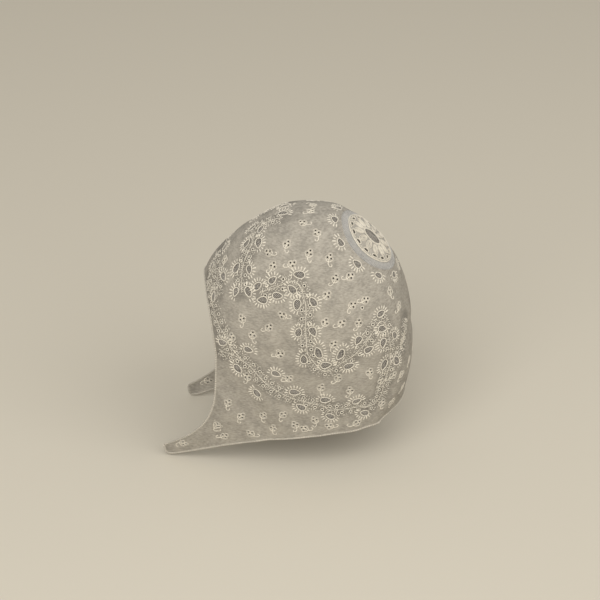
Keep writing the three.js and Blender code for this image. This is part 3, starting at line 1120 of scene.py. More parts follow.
@dataclass(frozen=True)
class SeedStitches:
    """A node tree that sets one small stitch on every point of the cloth, each turned at random.

    Attributes:
        length: A stitch's length.
        width: A stitch's width.
        height: How far it stands off the cloth.
        variation: Share by which its size varies.
        seed: Start of the random draws.
    """

    length: float
    width: float
    height: float
    variation: float = 0.25
    seed: int = 9

    def tree(self) -> bpy.types.NodeTree:
        """The tree, built once."""
        name = "seed stitches"
        if name in bpy.data.node_groups:
            return bpy.data.node_groups[name]
        tree = bpy.data.node_groups.new(name, "GeometryNodeTree")
        sockets = {
            "Geometry": "NodeSocketGeometry",
            "Stitch": "NodeSocketObject",
            "Size": "NodeSocketVector",
            "Least": "NodeSocketFloat",
            "Most": "NodeSocketFloat",
            "Seed": "NodeSocketInt",
            "Material": "NodeSocketMaterial",
        }
        for label, kind in sockets.items():
            tree.interface.new_socket(label, in_out="INPUT", socket_type=kind)
        tree.interface.new_socket("Geometry", in_out="OUTPUT", socket_type="NodeSocketGeometry")
        nodes, link = tree.nodes, tree.links.new
        given = nodes.new("NodeGroupInput").outputs
        normal = nodes.new("GeometryNodeInputNamedAttribute")
        normal.data_type = "FLOAT_VECTOR"
        normal.inputs["Name"].default_value = "cloth_normal"
        upright = nodes.new("FunctionNodeAlignRotationToVector")
        upright.axis = "Z"
        about = nodes.new("FunctionNodeAxisAngleToRotation")
        about.inputs["Axis"].default_value = (0, 0, 1)
        spin = nodes.new("FunctionNodeRandomValue")
        spin.data_type = "FLOAT"
        size = nodes.new("FunctionNodeRandomValue")
        size.data_type = "FLOAT"
        turned = nodes.new("FunctionNodeRotateRotation")
        turned.rotation_space = "LOCAL"
        scale = nodes.new("ShaderNodeVectorMath")
        scale.operation = "SCALE"
        shape = nodes.new("GeometryNodeObjectInfo")
        place = nodes.new("GeometryNodeInstanceOnPoints")
        real = nodes.new("GeometryNodeRealizeInstances")
        dressed = nodes.new("GeometryNodeSetMaterial")
        result = nodes.new("NodeGroupOutput")
        value = lambda sockets: [s for s in sockets if s.type == "VALUE"]  # noqa: E731
        value(spin.inputs)[0].default_value = 0
        value(spin.inputs)[1].default_value = math.pi
        link(given["Seed"], spin.inputs["Seed"])
        link(given["Seed"], size.inputs["Seed"])
        link(given["Least"], value(size.inputs)[0])
        link(given["Most"], value(size.inputs)[1])
        link(normal.outputs["Attribute"], upright.inputs["Vector"])
        link(value(spin.outputs)[0], about.inputs["Angle"])
        link(upright.outputs[0], turned.inputs["Rotation"])
        link(about.outputs[0], turned.inputs["Rotate By"])
        link(given["Size"], scale.inputs[0])
        link(value(size.outputs)[0], scale.inputs["Scale"])
        link(given["Stitch"], shape.inputs["Object"])
        link(given["Geometry"], place.inputs["Points"])
        link(shape.outputs["Geometry"], place.inputs["Instance"])
        link(turned.outputs[0], place.inputs["Rotation"])
        link(scale.outputs[0], place.inputs["Scale"])
        link(place.outputs[0], real.inputs[0])
        link(real.outputs[0], dressed.inputs["Geometry"])
        link(given["Material"], dressed.inputs["Material"])
        link(dressed.outputs[0], result.inputs[0])
        return tree

    def sewn(self, name: str, points: StitchPaths, material: bpy.types.Material) -> bpy.types.Mesh:
        """A plain mesh of the stitches.

        Args:
            name: The mesh's name.
            points: Their places.
            material: Their material.

        Returns:
            The mesh.
        """
        stitch = unit_stitch(4, ((-0.5, 0.45), (0.0, 1.0), (0.5, 0.4)))
        values = {
            "Stitch": stitch,
            "Size": (self.length, self.width, self.height),
            "Least": 1 - self.variation,
            "Most": 1 + self.variation,
            "Seed": self.seed,
            "Material": material,
        }
        return grown(name, points.mesh(), self.tree(), values, stitch)


def round_path(half_length: float, half_width: float, count: int, start: float = 0.0) -> np.ndarray:
    """An oval outline.

    Args:
        half_length: Half its size along x.
        half_width: Half its size along y.
        count: Points round it.
        start: Angle of the first point.

    Returns:
        The points, (count, 2).
    """
    angle = start + 2 * math.pi * np.arange(count) / count
    return np.stack([half_length * np.cos(angle), half_width * np.sin(angle)], -1)


@dataclass
class Leaves:
    """Places of the pierced leaves on the left side.

    Attributes:
        anchors: The leaves' middles, with headings towards their tips.
        bearing: 1 where the side away from the stem is to the left of the heading, -1 to the right.
        taper: How much narrower the tip is than the base.
        share: Each leaf's size as a share of the full size.
        length: A leaf's length.
        width: Its width.
    """

    anchors: Anchors
    bearing: np.ndarray
    taper: np.ndarray
    share: np.ndarray
    length: float = 10.3 * MM
    width: float = 6.4 * MM

    def outline(self, spare: float, count: int) -> tuple[np.ndarray, np.ndarray]:
        """The leaves' outlines in their own x and y, some way outside their holes.

        Args:
            spare: How far outside.
            count: Points round each.

        Returns:
            x and y, (N, count) each.
        """
        angle = 2 * math.pi * np.arange(count) / count
        x = (self.share[:, None] * self.length / 2 + spare) * np.cos(angle)
        y = (self.share[:, None] * self.width / 2 + spare) * np.sin(angle)
        return x, y * (1 - self.taper[:, None] * np.cos(angle)) * self.bearing[:, None]

    def lattice(self, pitch: float) -> tuple[np.ndarray, np.ndarray, np.ndarray]:
        """Threads of the net that fills each leaf, slanted both ways.

        Args:
            pitch: Thread to thread.

        Returns:
            Index of each thread's leaf, and x and y of its ends and middle, (T, 3) each.
        """
        reach = self.length
        along = np.linspace(-reach, reach, 161)
        owners, xs, ys = [], [], []
        for leaf, (taper, size) in enumerate(zip(self.taper, self.share)):
            length, width = self.length * size, self.width * size
            for slant in (1, -1):
                for offset in np.arange(-reach, reach, pitch * math.sqrt(2)):
                    x = offset + along / math.sqrt(2)
                    y = slant * along / math.sqrt(2)
                    share = np.clip(2 * x / length, -1, 1)
                    edge = width / 2 * np.sqrt(1 - share**2) * (1 - taper * share)
                    inside = np.flatnonzero((np.abs(y) < edge) & (np.abs(x) < length / 2))
                    if len(inside) > 3:
                        ends = inside[[0, len(inside) // 2, -1]]
                        owners.append(leaf)
                        xs.append(x[ends])
                        ys.append(y[ends] * self.bearing[leaf])
        return np.array(owners), np.array(xs), np.array(ys)


@dataclass
class MedallionPlane:
    """Finds places on the cloth from their way behind and aside of the medallion's centre.

    Attributes:
        form: The cap's outer surface.
        hoop: The centre's hoop on the mid-plane.
        rounds: Refinements of a place.
    """

    form: CapForm
    hoop: float = 5.1
    rounds: int = 6

    def centre(self) -> ClothFrames:
        """The frame of the medallion's centre."""
        return self.form.frames(self.form.outer, np.array(self.hoop), np.array(0.0))

    def place(self, behind: np.ndarray, aside: np.ndarray) -> np.ndarray:
        """Places on the cloth, measured square to the centre's normal.

        Args:
            behind: Ways behind the centre, any shape.
            aside: Ways to the left, of the same shape.

        Returns:
            Hoops and arounds, with one more axis of 2.
        """
        centre, nudge = self.centre(), self.form.nudge
        behind, aside = np.broadcast_arrays(np.asarray(behind, float), np.asarray(aside, float))
        hoop, around = np.full(behind.shape, self.hoop), np.zeros(behind.shape)

        def miss(hoop: np.ndarray, around: np.ndarray) -> np.ndarray:
            """How far places are behind and aside of where they should be."""
            offset = self.form.outer(hoop, around) - centre.point
            return np.stack([offset @ centre.backward - behind, offset @ centre.leftward - aside])

        for _ in range(self.rounds):
            here = miss(hoop, around)
            by_hoop = (miss(hoop + nudge, around) - here) / nudge
            by_around = (miss(hoop, around + nudge) - here) / nudge
            area = by_hoop[0] * by_around[1] - by_around[0] * by_hoop[1]
            hoop = hoop - (here[0] * by_around[1] - here[1] * by_around[0]) / area
            around = around - (here[1] * by_hoop[0] - here[0] * by_hoop[1]) / area
        return np.stack([hoop, around], -1)


@dataclass
class Pattern:
    """Where the whitework lies on the left side. The right side mirrors it.

    Attributes:
        form: The cap's outer surface.
        plane: The medallion's place on it.
        spread: Stem to the middle of a leaf.
        lean: Angle by which a leaf's tip turns away from the stem.
        wreath_count: Leaves round the net.
        wreath_radius: The medallion's centre to the middle of such a leaf.
        eyelet_pitch: Eyelet to eyelet beside a stem.
        eyelet_offset: Stem to the middle of an eyelet.
        eyelet_radius: An eyelet's hole.
        seed: Start of the random draws.
    """

    form: CapForm
    plane: MedallionPlane
    spread: float = 8 * MM
    lean: float = math.radians(20)
    wreath_count: int = 10
    wreath_radius: float = 42.7 * MM
    eyelet_pitch: float = 4.6 * MM
    eyelet_offset: float = 4.2 * MM
    eyelet_radius: float = 1 * MM
    seed: int = 7
    leaves: Leaves = field(init=False)
    stems: list = field(init=False)
    sprigs: Anchors = field(init=False)
    sprig_hand: np.ndarray = field(init=False)
    eyelets: np.ndarray = field(init=False)

    def __post_init__(self) -> None:
        """Lays out stems, leaves, sprigs and eyelets, in that order."""
        vines = [np.array(vine, float) for vine in (CHEEK_VINE, EAR_VINE, BROW_VINE, EDGE_VINE, FACE_VINE, NAPE_VINE)]
        self.stems = [spline(vine[:, :2], 12) for vine in vines]
        self.leaves = self.laid_leaves(vines)
        self.sprigs, self.sprig_hand = self.laid_sprigs()
        self.eyelets = self.laid_eyelets()

    def laid_leaves(self, vines: list[np.ndarray]) -> Leaves:
        """The leaves of the vines and of the wreath.

        Args:
            vines: The vines' tables.

        Returns:
            The leaves.
        """
        spots, headings, bearings = [], [], []
        for vine in vines:
            nodes = self.form.frames(self.form.outer, vine[:, 0], vine[:, 1])
            after = np.vstack([nodes.point[1:], nodes.point[-1:]])
            before = np.vstack([nodes.point[:1], nodes.point[:-1]])
            chord = after - before
            heading = unit(chord - nodes.normal * np.sum(chord * nodes.normal, -1)[:, None])
            aside = np.cross(nodes.normal, heading)
            anchors = Anchors(self.form, vine[:, 0], vine[:, 1], heading)
            for column, bearing in ((2, 1), (3, -1)):
                share = vine[:, column]
                wrapped = anchors.wrap(np.zeros((len(vine), 1)), (bearing * share * self.spread)[:, None])
                tipward = heading * math.cos(self.lean) + aside * (bearing * math.sin(self.lean))
                has_leaf = share > 0
                spots.append(wrapped[has_leaf, 0])
                headings.append(tipward[has_leaf])
                bearings.append(np.full(has_leaf.sum(), bearing))
        angle = 2 * math.pi * (np.arange(self.wreath_count // 2) + 0.5) / self.wreath_count
        wreath = self.plane.place(self.wreath_radius * np.cos(angle), self.wreath_radius * np.sin(angle))
        frames = self.form.frames(self.form.outer, wreath[:, 0], wreath[:, 1])
        outward = frames.point - self.plane.centre().point
        spots.append(wreath)
        headings.append(unit(np.cross(frames.normal, outward)))
        bearings.append(np.full(len(wreath), -1))
        spot = np.concatenate(spots)
        draws = np.random.default_rng(self.seed)
        taper = draws.choice([-1, 1], len(spot)) * draws.uniform(0.15, 0.42, len(spot))
        share = draws.uniform(0.84, 1.04, len(spot))
        anchors = Anchors(self.form, spot[:, 0], spot[:, 1], np.concatenate(headings))
        return Leaves(anchors, np.concatenate(bearings), taper, share)

    def leaf_discs(self) -> np.ndarray:
        """Middles of three discs that cover each leaf, (D, 3)."""
        x = self.leaves.length * np.array([-0.28, 0, 0.28])
        spots = self.leaves.anchors.wrap(x, np.zeros(3)).reshape(-1, 2)
        return self.form.outer(spots[:, 0], spots[:, 1])

    def free(self, spots: np.ndarray, taken: np.ndarray, room: float) -> np.ndarray:
        """Which spots are clear of taken places.

        Args:
            spots: Hoops and arounds, (N, 2).
            taken: Places, (M, 3).
            room: The distance that they keep.

        Returns:
            N truth values.
        """
        points = self.form.outer(spots[:, 0], spots[:, 1])
        gap = np.linalg.norm(points[:, None] - taken[None], axis=-1).min(1)
        return (gap > room) & (np.abs(points[:, 0]) > room / 3)

    def laid_sprigs(self) -> tuple[Anchors, np.ndarray]:
        """The sprigs with their headings, and which way each tail curls."""
        spots = np.array(SPRIGS, float)
        spots = spots[self.free(spots, self.leaf_discs(), 6.4 * MM)]
        draws = np.random.default_rng(self.seed + 1)
        frames = self.form.frames(self.form.outer, spots[:, 0], spots[:, 1])
        lean = draws.uniform(-1.1, 1.1, len(spots))[:, None]
        heading = frames.leftward * np.cos(lean) + frames.backward * np.sin(lean)
        return Anchors(self.form, spots[:, 0], spots[:, 1], heading), draws.choice([-1.0, 1.0], len(spots))

    def beside_stem(self, stem: np.ndarray, pitch: float, offset: float) -> np.ndarray:
        """Spots in two rows beside a stem, staggered.

        Args:
            stem: The stem's hoops and arounds.
            pitch: Spot to spot in a row.
            offset: The rows' distance from the stem.

        Returns:
            The spots, (N, 2).
        """
        points = self.form.outer(stem[:, 0], stem[:, 1])
        steps = np.linalg.norm(np.diff(points, axis=0), axis=1)
        reached = np.concatenate([[0], np.cumsum(steps)])
        way = np.arange(pitch / 2, reached[-1], pitch / 2)
        hoop, around = (np.interp(way, reached, stem[:, k]) for k in range(2))
        line = self.form.outer(hoop, around)
        anchors = Anchors(self.form, hoop, around, np.gradient(line, axis=0))
        side = np.where(np.arange(len(way)) % 2, 1.0, -1.0)[:, None]
        return anchors.wrap(np.zeros_like(side), side * offset)[:, 0]

    def from_stems(self, points: np.ndarray) -> np.ndarray:
        """The distance from each place to the nearest stem.

        Args:
            points: Places, (N, 3).

        Returns:
            N distances.
        """
        spots = np.concatenate([stem * (1, side) for stem in self.stems for side in (1, -1)])
        stems = self.form.outer(spots[:, 0], spots[:, 1])
        tree = kdtree.KDTree(len(stems))
        for k, place in enumerate(stems):
            tree.insert(place, k)
        tree.balance()
        return np.array([tree.find(point)[2] for point in points])

    def laid_eyelets(self) -> np.ndarray:
        """Spots of the single eyelets beside the stems, (N, 2)."""
        taken = self.leaf_discs()
        sprig_points = self.form.outer(self.sprigs.hoop, self.sprigs.around)
        kept = []
        for stem in self.stems:
            for spot in self.beside_stem(stem, self.eyelet_pitch * 2, self.eyelet_offset):
                clear_of_leaves = self.free(spot[None], taken, 4.6 * MM)[0]
                if clear_of_leaves and self.free(spot[None], sprig_points, 5 * MM)[0]:
                    point = self.form.outer(spot[:1], spot[1:])
                    if not kept or self.free(spot[None], np.array([p for _, p in kept]), 4.5 * MM)[0]:
                        kept.append((spot, point[0]))
        return np.array([spot for spot, _ in kept])


@dataclass
class Headpiece:
    """The muslin that covers crown, sides and lappets in one, pierced by leaves and eyelets.

    Attributes:
        cloth: The muslin's face.
        pattern: The whitework on it.
        thickness: The cloth's thickness.
        fineness: Size of its triangles.
        hoop_unit: One hoop on the flattened cloth.
        around_unit: One unit of around on the flattened cloth.
        ring_radius: Radius of the hole that the net is let into.
        ring_points: Points round that hole.
        leaf_points: Points round a leaf.
        eyelet_points: Points round an eyelet.
        stitch_shade_reach: How far from a stem the painted shade among the close stitches begins to thin out.
    """

    cloth: Cloth
    pattern: Pattern
    thickness: float = 0.45 * MM
    fineness: float = 2.3 * MM
    hoop_unit: float = 38 * MM
    around_unit: float = 235 * MM
    ring_radius: float = 36.4 * MM
    ring_points: int = 112
    leaf_points: int = 20
    eyelet_points: int = 8
    stitch_shade_reach: float = 6.5 * MM

    def holes(self, eyelet_spots: np.ndarray) -> list[np.ndarray]:
        """Outlines of every hole, on the flattened cloth.

        Args:
            eyelet_spots: Outlines of eyelets as hoops and arounds, (N, K, 2).

        Returns:
            The outlines, (K, 2) each.
        """
        unit_sizes = (self.hoop_unit, self.around_unit)
        ring = round_path(self.ring_radius, self.ring_radius, self.ring_points)
        outlines = [self.pattern.plane.place(ring[:, 0], ring[:, 1]) * unit_sizes]
        leaves = self.pattern.leaves
        outlines += list(both_sides(leaves.anchors.wrap(*leaves.outline(0, self.leaf_points))) * unit_sizes)
        outlines += list(both_sides(eyelet_spots) * unit_sizes)
        return outlines

    def mesh(self, eyelet_spots: np.ndarray) -> bpy.types.Mesh:
        """The pierced cloth, with both faces and the walls of its holes.

        Args:
            eyelet_spots: Outlines of eyelets as hoops and arounds, (N, K, 2).

        Returns:
            The mesh, with a UV map in metres.
        """
        rows = round(LAST_HOOP * self.hoop_unit / self.fineness)
        columns = 2 * round(self.around_unit / self.fineness)
        hoop, around = np.meshgrid(
            np.linspace(0, LAST_HOOP, rows + 1), np.linspace(-1, 1, columns + 1), indexing="ij"
        )
        flat = np.stack([hoop * self.hoop_unit, around * self.around_unit], -1).reshape(-1, 2)
        sheet = PiercedSheet()
        points, triangles = sheet.cut(flat, self.holes(eyelet_spots))
        outer, normals = self.cloth.at(points[:, 0] / self.hoop_unit, points[:, 1] / self.around_unit)
        triangles = faced(outer, normals, triangles)
        soup = sheet.walled(outer, outer - normals * self.thickness, triangles)
        mesh = soup.mesh("muslin_headpiece")
        mesh.set_sharp_from_angle(angle=math.radians(50))
        # Painted shade: a mask that is 1 near the stems and fades further out; the muslin's finish darkens its colour
        # there as if shaded among the stitches.
        worked = np.clip(1.9 - self.pattern.from_stems(outer) / self.stitch_shade_reach, 0, 1)
        layer = mesh.attributes.new("worked", "FLOAT", "POINT")
        layer.data.foreach_set("value", np.tile(worked, 2).astype(np.float32))
        lay_flat(mesh, np.concatenate([points, points]))
        return mesh


def faced(points: np.ndarray, normals: np.ndarray, triangles: np.ndarray) -> np.ndarray:
    """The triangles, all turned to face along the normals.

    Args:
        points: Places, (N, 3).
        normals: Normals there.
        triangles: Point indices, (T, 3).

    Returns:
        The triangles.
    """
    corners = points[triangles]
    facing = np.cross(corners[:, 1] - corners[:, 0], corners[:, 2] - corners[:, 0])
    inward = np.sum(facing * normals[triangles[:, 0]], -1) < 0
    return np.where(inward[:, None], triangles[:, ::-1], triangles)


def lay_flat(mesh: bpy.types.Mesh, flat: np.ndarray) -> None:
    """Gives a mesh a UV map from its points' places on the flattened cloth.

    Args:
        mesh: The mesh.
        flat: The flat places, (N, 2), in metres.
    """
    corners = np.empty(len(mesh.loops), dtype=np.int32)
    mesh.loops.foreach_get("vertex_index", corners)
    layer = mesh.uv_layers.new(name="Cloth")
    layer.data.foreach_set("uv", flat[corners].astype(np.float32).ravel())


@dataclass
class Whitework:
    """The embroidery on the muslin: nets, rims and rays of the leaves, stems, eyelets and sprigs.

    Attributes:
        cloth: The muslin's face.
        pattern: Where the embroidery lies.
        net_pitch: Thread to thread in a leaf.
        rim_width: Half a leaf rim's width.
        ray_reach: Middle of a ray stitch to the leaf's edge.
        eyelet_rim: Radius of an eyelet's rim.
    """

    cloth: Cloth
    pattern: Pattern
    net_pitch: float = 1.45 * MM
    rim_width: float = 0.5 * MM
    ray_reach: float = 3.4 * MM
    eyelet_rim: float = 1.5 * MM
    petal_rim: float = 1.3 * MM
    petal_loop: float = 2.25 * MM
    sprig_hole: float = 0.95 * MM
    seed_room: float = 1.85 * MM
    seed_band: float = 8.2 * MM
    petals: tuple = ((0.6 * MM, 1.95 * MM), (0.6 * MM, -1.95 * MM), (-2.6 * MM, 0.0))
    depth: float = -0.2 * MM
    relief: float = 0.55 * MM
    shade_net_pitch: float = 0.55 * MM
    seed: int = 21

    def on_cloth(self, spots: np.ndarray, lift: float) -> tuple[np.ndarray, np.ndarray]:
        """Places a little off the cloth's face.

        Args:
            spots: Hoops and arounds, (..., 2).
            lift: How far off.

        Returns:
            The places and the normals.
        """
        points, normals = self.cloth.at(spots[..., 0], spots[..., 1])
        return points + normals * lift, normals

    def leaf_net(self, pitch: float, half_width: float, lift: float) -> Soup:
        """Slanted threads across every leaf.

        Args:
            pitch: Thread to thread.
            half_width: Half a thread's width.
            lift: How far off the cloth's face.

        Returns:
            The threads.
        """
        leaves = self.pattern.leaves
        owner, x, y = leaves.lattice(pitch)
        anchors = leaves.anchors
        picked = Anchors(anchors.form, anchors.hoop[owner], anchors.around[owner], anchors.heading[owner])
        points, normals = self.on_cloth(both_sides(picked.wrap(x, y)), lift)
        return tubes(points, normals, half_width, 0.12 * MM, sides=4)

    def leaf_rims(self) -> Soup:
        """The whipped edges of the leaves."""
        leaves = self.pattern.leaves
        spots = both_sides(leaves.anchors.wrap(*leaves.outline(self.rim_width * 0.6, 22)))
        points, normals = self.on_cloth(spots, self.depth)
        return tubes(points, normals, self.rim_width, self.relief, sides=6, ends=Ends.CLOSED)

    def ray_lines(self) -> StitchPaths:
        """Lines through the middles of the ray stitches, on each leaf's far side from its stem."""
        leaves = self.pattern.leaves
        angle = np.radians(np.linspace(-12, 192, 17))
        size = leaves.share[:, None]
        x = (size * leaves.length / 2 + self.ray_reach) * np.cos(angle)
        y = (size * leaves.width / 2 + self.ray_reach) * np.sin(angle) * leaves.bearing[:, None]
        return self.lines(both_sides(leaves.anchors.wrap(x, y)), self.depth)

    def lines(self, spots: np.ndarray, lift: float, closed: bool = False) -> StitchPaths:
        """Stitch lines along rows of spots.

        Args:
            spots: Hoops and arounds, (N, K, 2).
            lift: How far off the cloth.
            closed: Whether each line runs back into itself.

        Returns:
            The lines.
        """
        points, normals = self.on_cloth(spots, lift)
        return StitchPaths(list(points), list(normals), [closed] * len(points))

    def stem_lines(self) -> StitchPaths:
        """Lines along the vines' stems."""
        points, normals = [], []
        for stem in self.pattern.stems:
            for side in (1, -1):
                place, normal = self.on_cloth(stem * (1, side), self.depth)
                points.append(place)
                normals.append(normal)
        return StitchPaths(points, normals, [False] * len(points))

    def petal_outlines(self, radius: float, count: int) -> np.ndarray:
        """Rings round the three eyelets of every sprig.

        Args:
            radius: The rings' radius.
            count: Points round each.

        Returns:
            Hoops and arounds, (N, count, 2).
        """
        ring = round_path(radius, radius, count)
        sprigs = self.pattern.sprigs
        return np.concatenate([sprigs.wrap(ring[:, 0] + x, ring[:, 1] + y) for x, y in self.petals])

    def eyelet_anchors(self) -> Anchors:
        """Places of the single eyelets."""
        spots = self.pattern.eyelets
        backward = np.tile((0.0, 1.0, -0.3), (len(spots), 1))
        return Anchors(self.pattern.form, spots[:, 0], spots[:, 1], backward)

    def eyelet_outlines(self, radius: float, count: int) -> np.ndarray:
        """Rings round the single eyelets.

        Args:
            radius: The rings' radius.
            count: Points round each.

        Returns:
            Hoops and arounds, (N, count, 2).
        """
        ring = round_path(radius, radius, count)
        return self.eyelet_anchors().wrap(ring[:, 0], ring[:, 1])

    def in_eyelets(self, x: np.ndarray, y: np.ndarray) -> np.ndarray:
        """The same short lines in every eyelet, single ones and those of the sprigs.

        Args:
            x: Ways along the eyelet's own x, (L, K).
            y: Ways along its y, of the same shape.

        Returns:
            Hoops and arounds, (N, K, 2).
        """
        sprigs, shape = self.pattern.sprigs, x.shape
        parts = [sprigs.wrap(x.ravel() + dx, y.ravel() + dy) for dx, dy in self.petals]
        parts.append(self.eyelet_anchors().wrap(x.ravel(), y.ravel()))
        return np.concatenate([spots.reshape(-1, shape[1], 2) for spots in parts])

    def hole_outlines(self, count: int) -> np.ndarray:
        """Outlines of every eyelet's hole, (N, count, 2)."""
        single = self.eyelet_outlines(self.pattern.eyelet_radius, count)
        return np.concatenate([self.petal_outlines(self.sprig_hole, count), single])

    def eyelet_rims(self) -> Soup:
        """The whipped edges of the single eyelets."""
        points, normals = self.on_cloth(both_sides(self.eyelet_outlines(self.eyelet_rim, 10)), self.depth)
        return tubes(points, normals, 0.5 * MM, self.relief, sides=5, ends=Ends.CLOSED)

    def eyelet_grounds(self) -> Soup:
        """Short near-black threads that cross in every eyelet, behind the cloth's face: painted shadow that makes
        each hole read dark.
        """
        offset = np.linspace(-0.75, 0.75, 5)
        reach = np.sqrt(1.1 - offset**2)
        ends = np.stack([-reach, reach], -1) * self.pattern.eyelet_radius
        level = np.broadcast_to(offset[:, None] * self.pattern.eyelet_radius, ends.shape)
        parts = []
        for x, y, lift in ((ends, level, -0.3 * MM), (level, ends, -0.5 * MM)):
            points, normals = self.on_cloth(both_sides(self.in_eyelets(x, y)), lift)
            parts.append(tubes(points, normals, 0.17 * MM, 0.1 * MM, sides=4))
        return Soup.joined(parts)

    def sprig_petals(self) -> Soup:
        """The sprigs' whipped eyelets, the loops round them and the cups below."""
        rims = self.on_cloth(both_sides(self.petal_outlines(self.petal_rim, 9)), self.depth)
        loops = self.on_cloth(both_sides(self.petal_outlines(self.petal_loop, 12)), self.depth)
        turn = np.radians(np.linspace(-78, 78, 6))
        cup = (3.4 * MM * np.cos(turn) + 1.2 * MM, 3.4 * MM * np.sin(turn))
        cups = self.on_cloth(both_sides(self.pattern.sprigs.wrap(*cup)), self.depth)
        return Soup.joined(
            [
                tubes(*rims, 0.28 * MM, self.relief, sides=4, ends=Ends.CLOSED),
                tubes(*loops, 0.27 * MM, self.relief, sides=4, ends=Ends.CLOSED),
                tubes(*cups, 0.45 * MM, self.relief, sides=5),
            ]
        )

    def seed_spots(self) -> np.ndarray:
        """Spots of the seed stitches that fill the ground beside the stems, (N, 2)."""
        pattern, draws = self.pattern, np.random.default_rng(self.seed)
        taken = [(pattern.leaf_discs(), 4.1 * MM)]
        sprigs, eyelets = pattern.sprigs, pattern.eyelets
        taken.append((pattern.form.outer(sprigs.hoop, sprigs.around), 5.2 * MM))
        taken.append((pattern.form.outer(eyelets[:, 0], eyelets[:, 1]), 2.7 * MM))
        spots: list = []
        for stem in pattern.stems:
            for offset in np.arange(1.7 * MM, self.seed_band, self.seed_room):
                row = pattern.beside_stem(stem, self.seed_room * 1.25, offset)
                mirrored = pattern.beside_stem(stem[::-1], self.seed_room * 1.25, offset)
                spots += [row, mirrored]
        loose = np.concatenate(spots)
        loose = loose + draws.normal(size=loose.shape) * (0.008, 0.0014)
        loose = loose[(loose[:, 0] > 0.12) & (loose[:, 1] < 0.985) & (loose[:, 1] > 0.004)]
        points = pattern.form.outer(loose[:, 0], loose[:, 1])
        clear = np.ones(len(loose), bool)
        for places, room in taken:
            near = kdtree.KDTree(len(places))
            for k, place in enumerate(places):
                near.insert(place, k)
            near.balance()
            clear &= np.array([near.find(point)[2] > room for point in points])
        kept: list = []
        grid: dict = {}
        for k in np.flatnonzero(clear):
            cell = tuple((points[k] // self.seed_room).astype(int))
            around = [
                grid.get((cell[0] + i, cell[1] + j, cell[2] + m), ())
                for i in (-1, 0, 1)
                for j in (-1, 0, 1)
                for m in (-1, 0, 1)
            ]
            if all(np.linalg.norm(points[k] - points[n]) > self.seed_room for near in around for n in near):
                grid.setdefault(cell, []).append(k)
                kept.append(k)
        return loose[kept]

    def seed_points(self) -> StitchPaths:
        """The places of the seed stitches, as lines of one point."""
        points, normals = self.on_cloth(both_sides(self.seed_spots()), self.depth)
        return StitchPaths(list(points[:, None]), list(normals[:, None]), [False] * len(points))

    def tail_lines(self) -> StitchPaths:
        """Lines along the sprigs' curled tails."""
        nodes = np.array([(2.6, 0), (5, 0.4), (7.2, 1.6), (8.2, 3.4), (7.4, 4.9), (5.9, 4.6)]) * MM
        curl = spline(nodes, 3)
        x, y = np.broadcast_arrays(curl[:, 0], self.pattern.sprig_hand[:, None] * curl[:, 1])
        return self.lines(both_sides(self.pattern.sprigs.wrap(x, y)), self.depth)


@dataclass
class NetInsertion:
    """The ring of net between the muslin and the medallion.

    Attributes:
        cloth: The muslin's face.
        plane: The medallion's place on it.
        inner: The ring's inner radius.
        outer: Its outer radius.
        threads: Threads that slant each way.
        slant: Angle round the ring that a thread covers.
    """

    cloth: Cloth
    plane: MedallionPlane
    inner: float = 28.6 * MM
    outer: float = 37 * MM
    threads: int = 132
    slant: float = math.radians(13)

    def mesh(self) -> bpy.types.Mesh:
        """The net, its threads crossing both ways."""
        share = np.linspace(0, 1, 7)
        radius = self.inner + (self.outer - self.inner) * share
        starts = 2 * math.pi * np.arange(self.threads) / self.threads
        parts = []
        for way, lift in ((1, -0.12 * MM), (-1, -0.3 * MM)):
            angle = starts[:, None] + way * self.slant * share
            spots = self.plane.place(radius * np.cos(angle), radius * np.sin(angle))
            points, normals = self.cloth.at(spots[..., 0], spots[..., 1])
            parts.append(tubes(points + normals * lift, normals, 0.33 * MM, 0.12 * MM, sides=4))
        return Soup.joined(parts).mesh("net_ring")


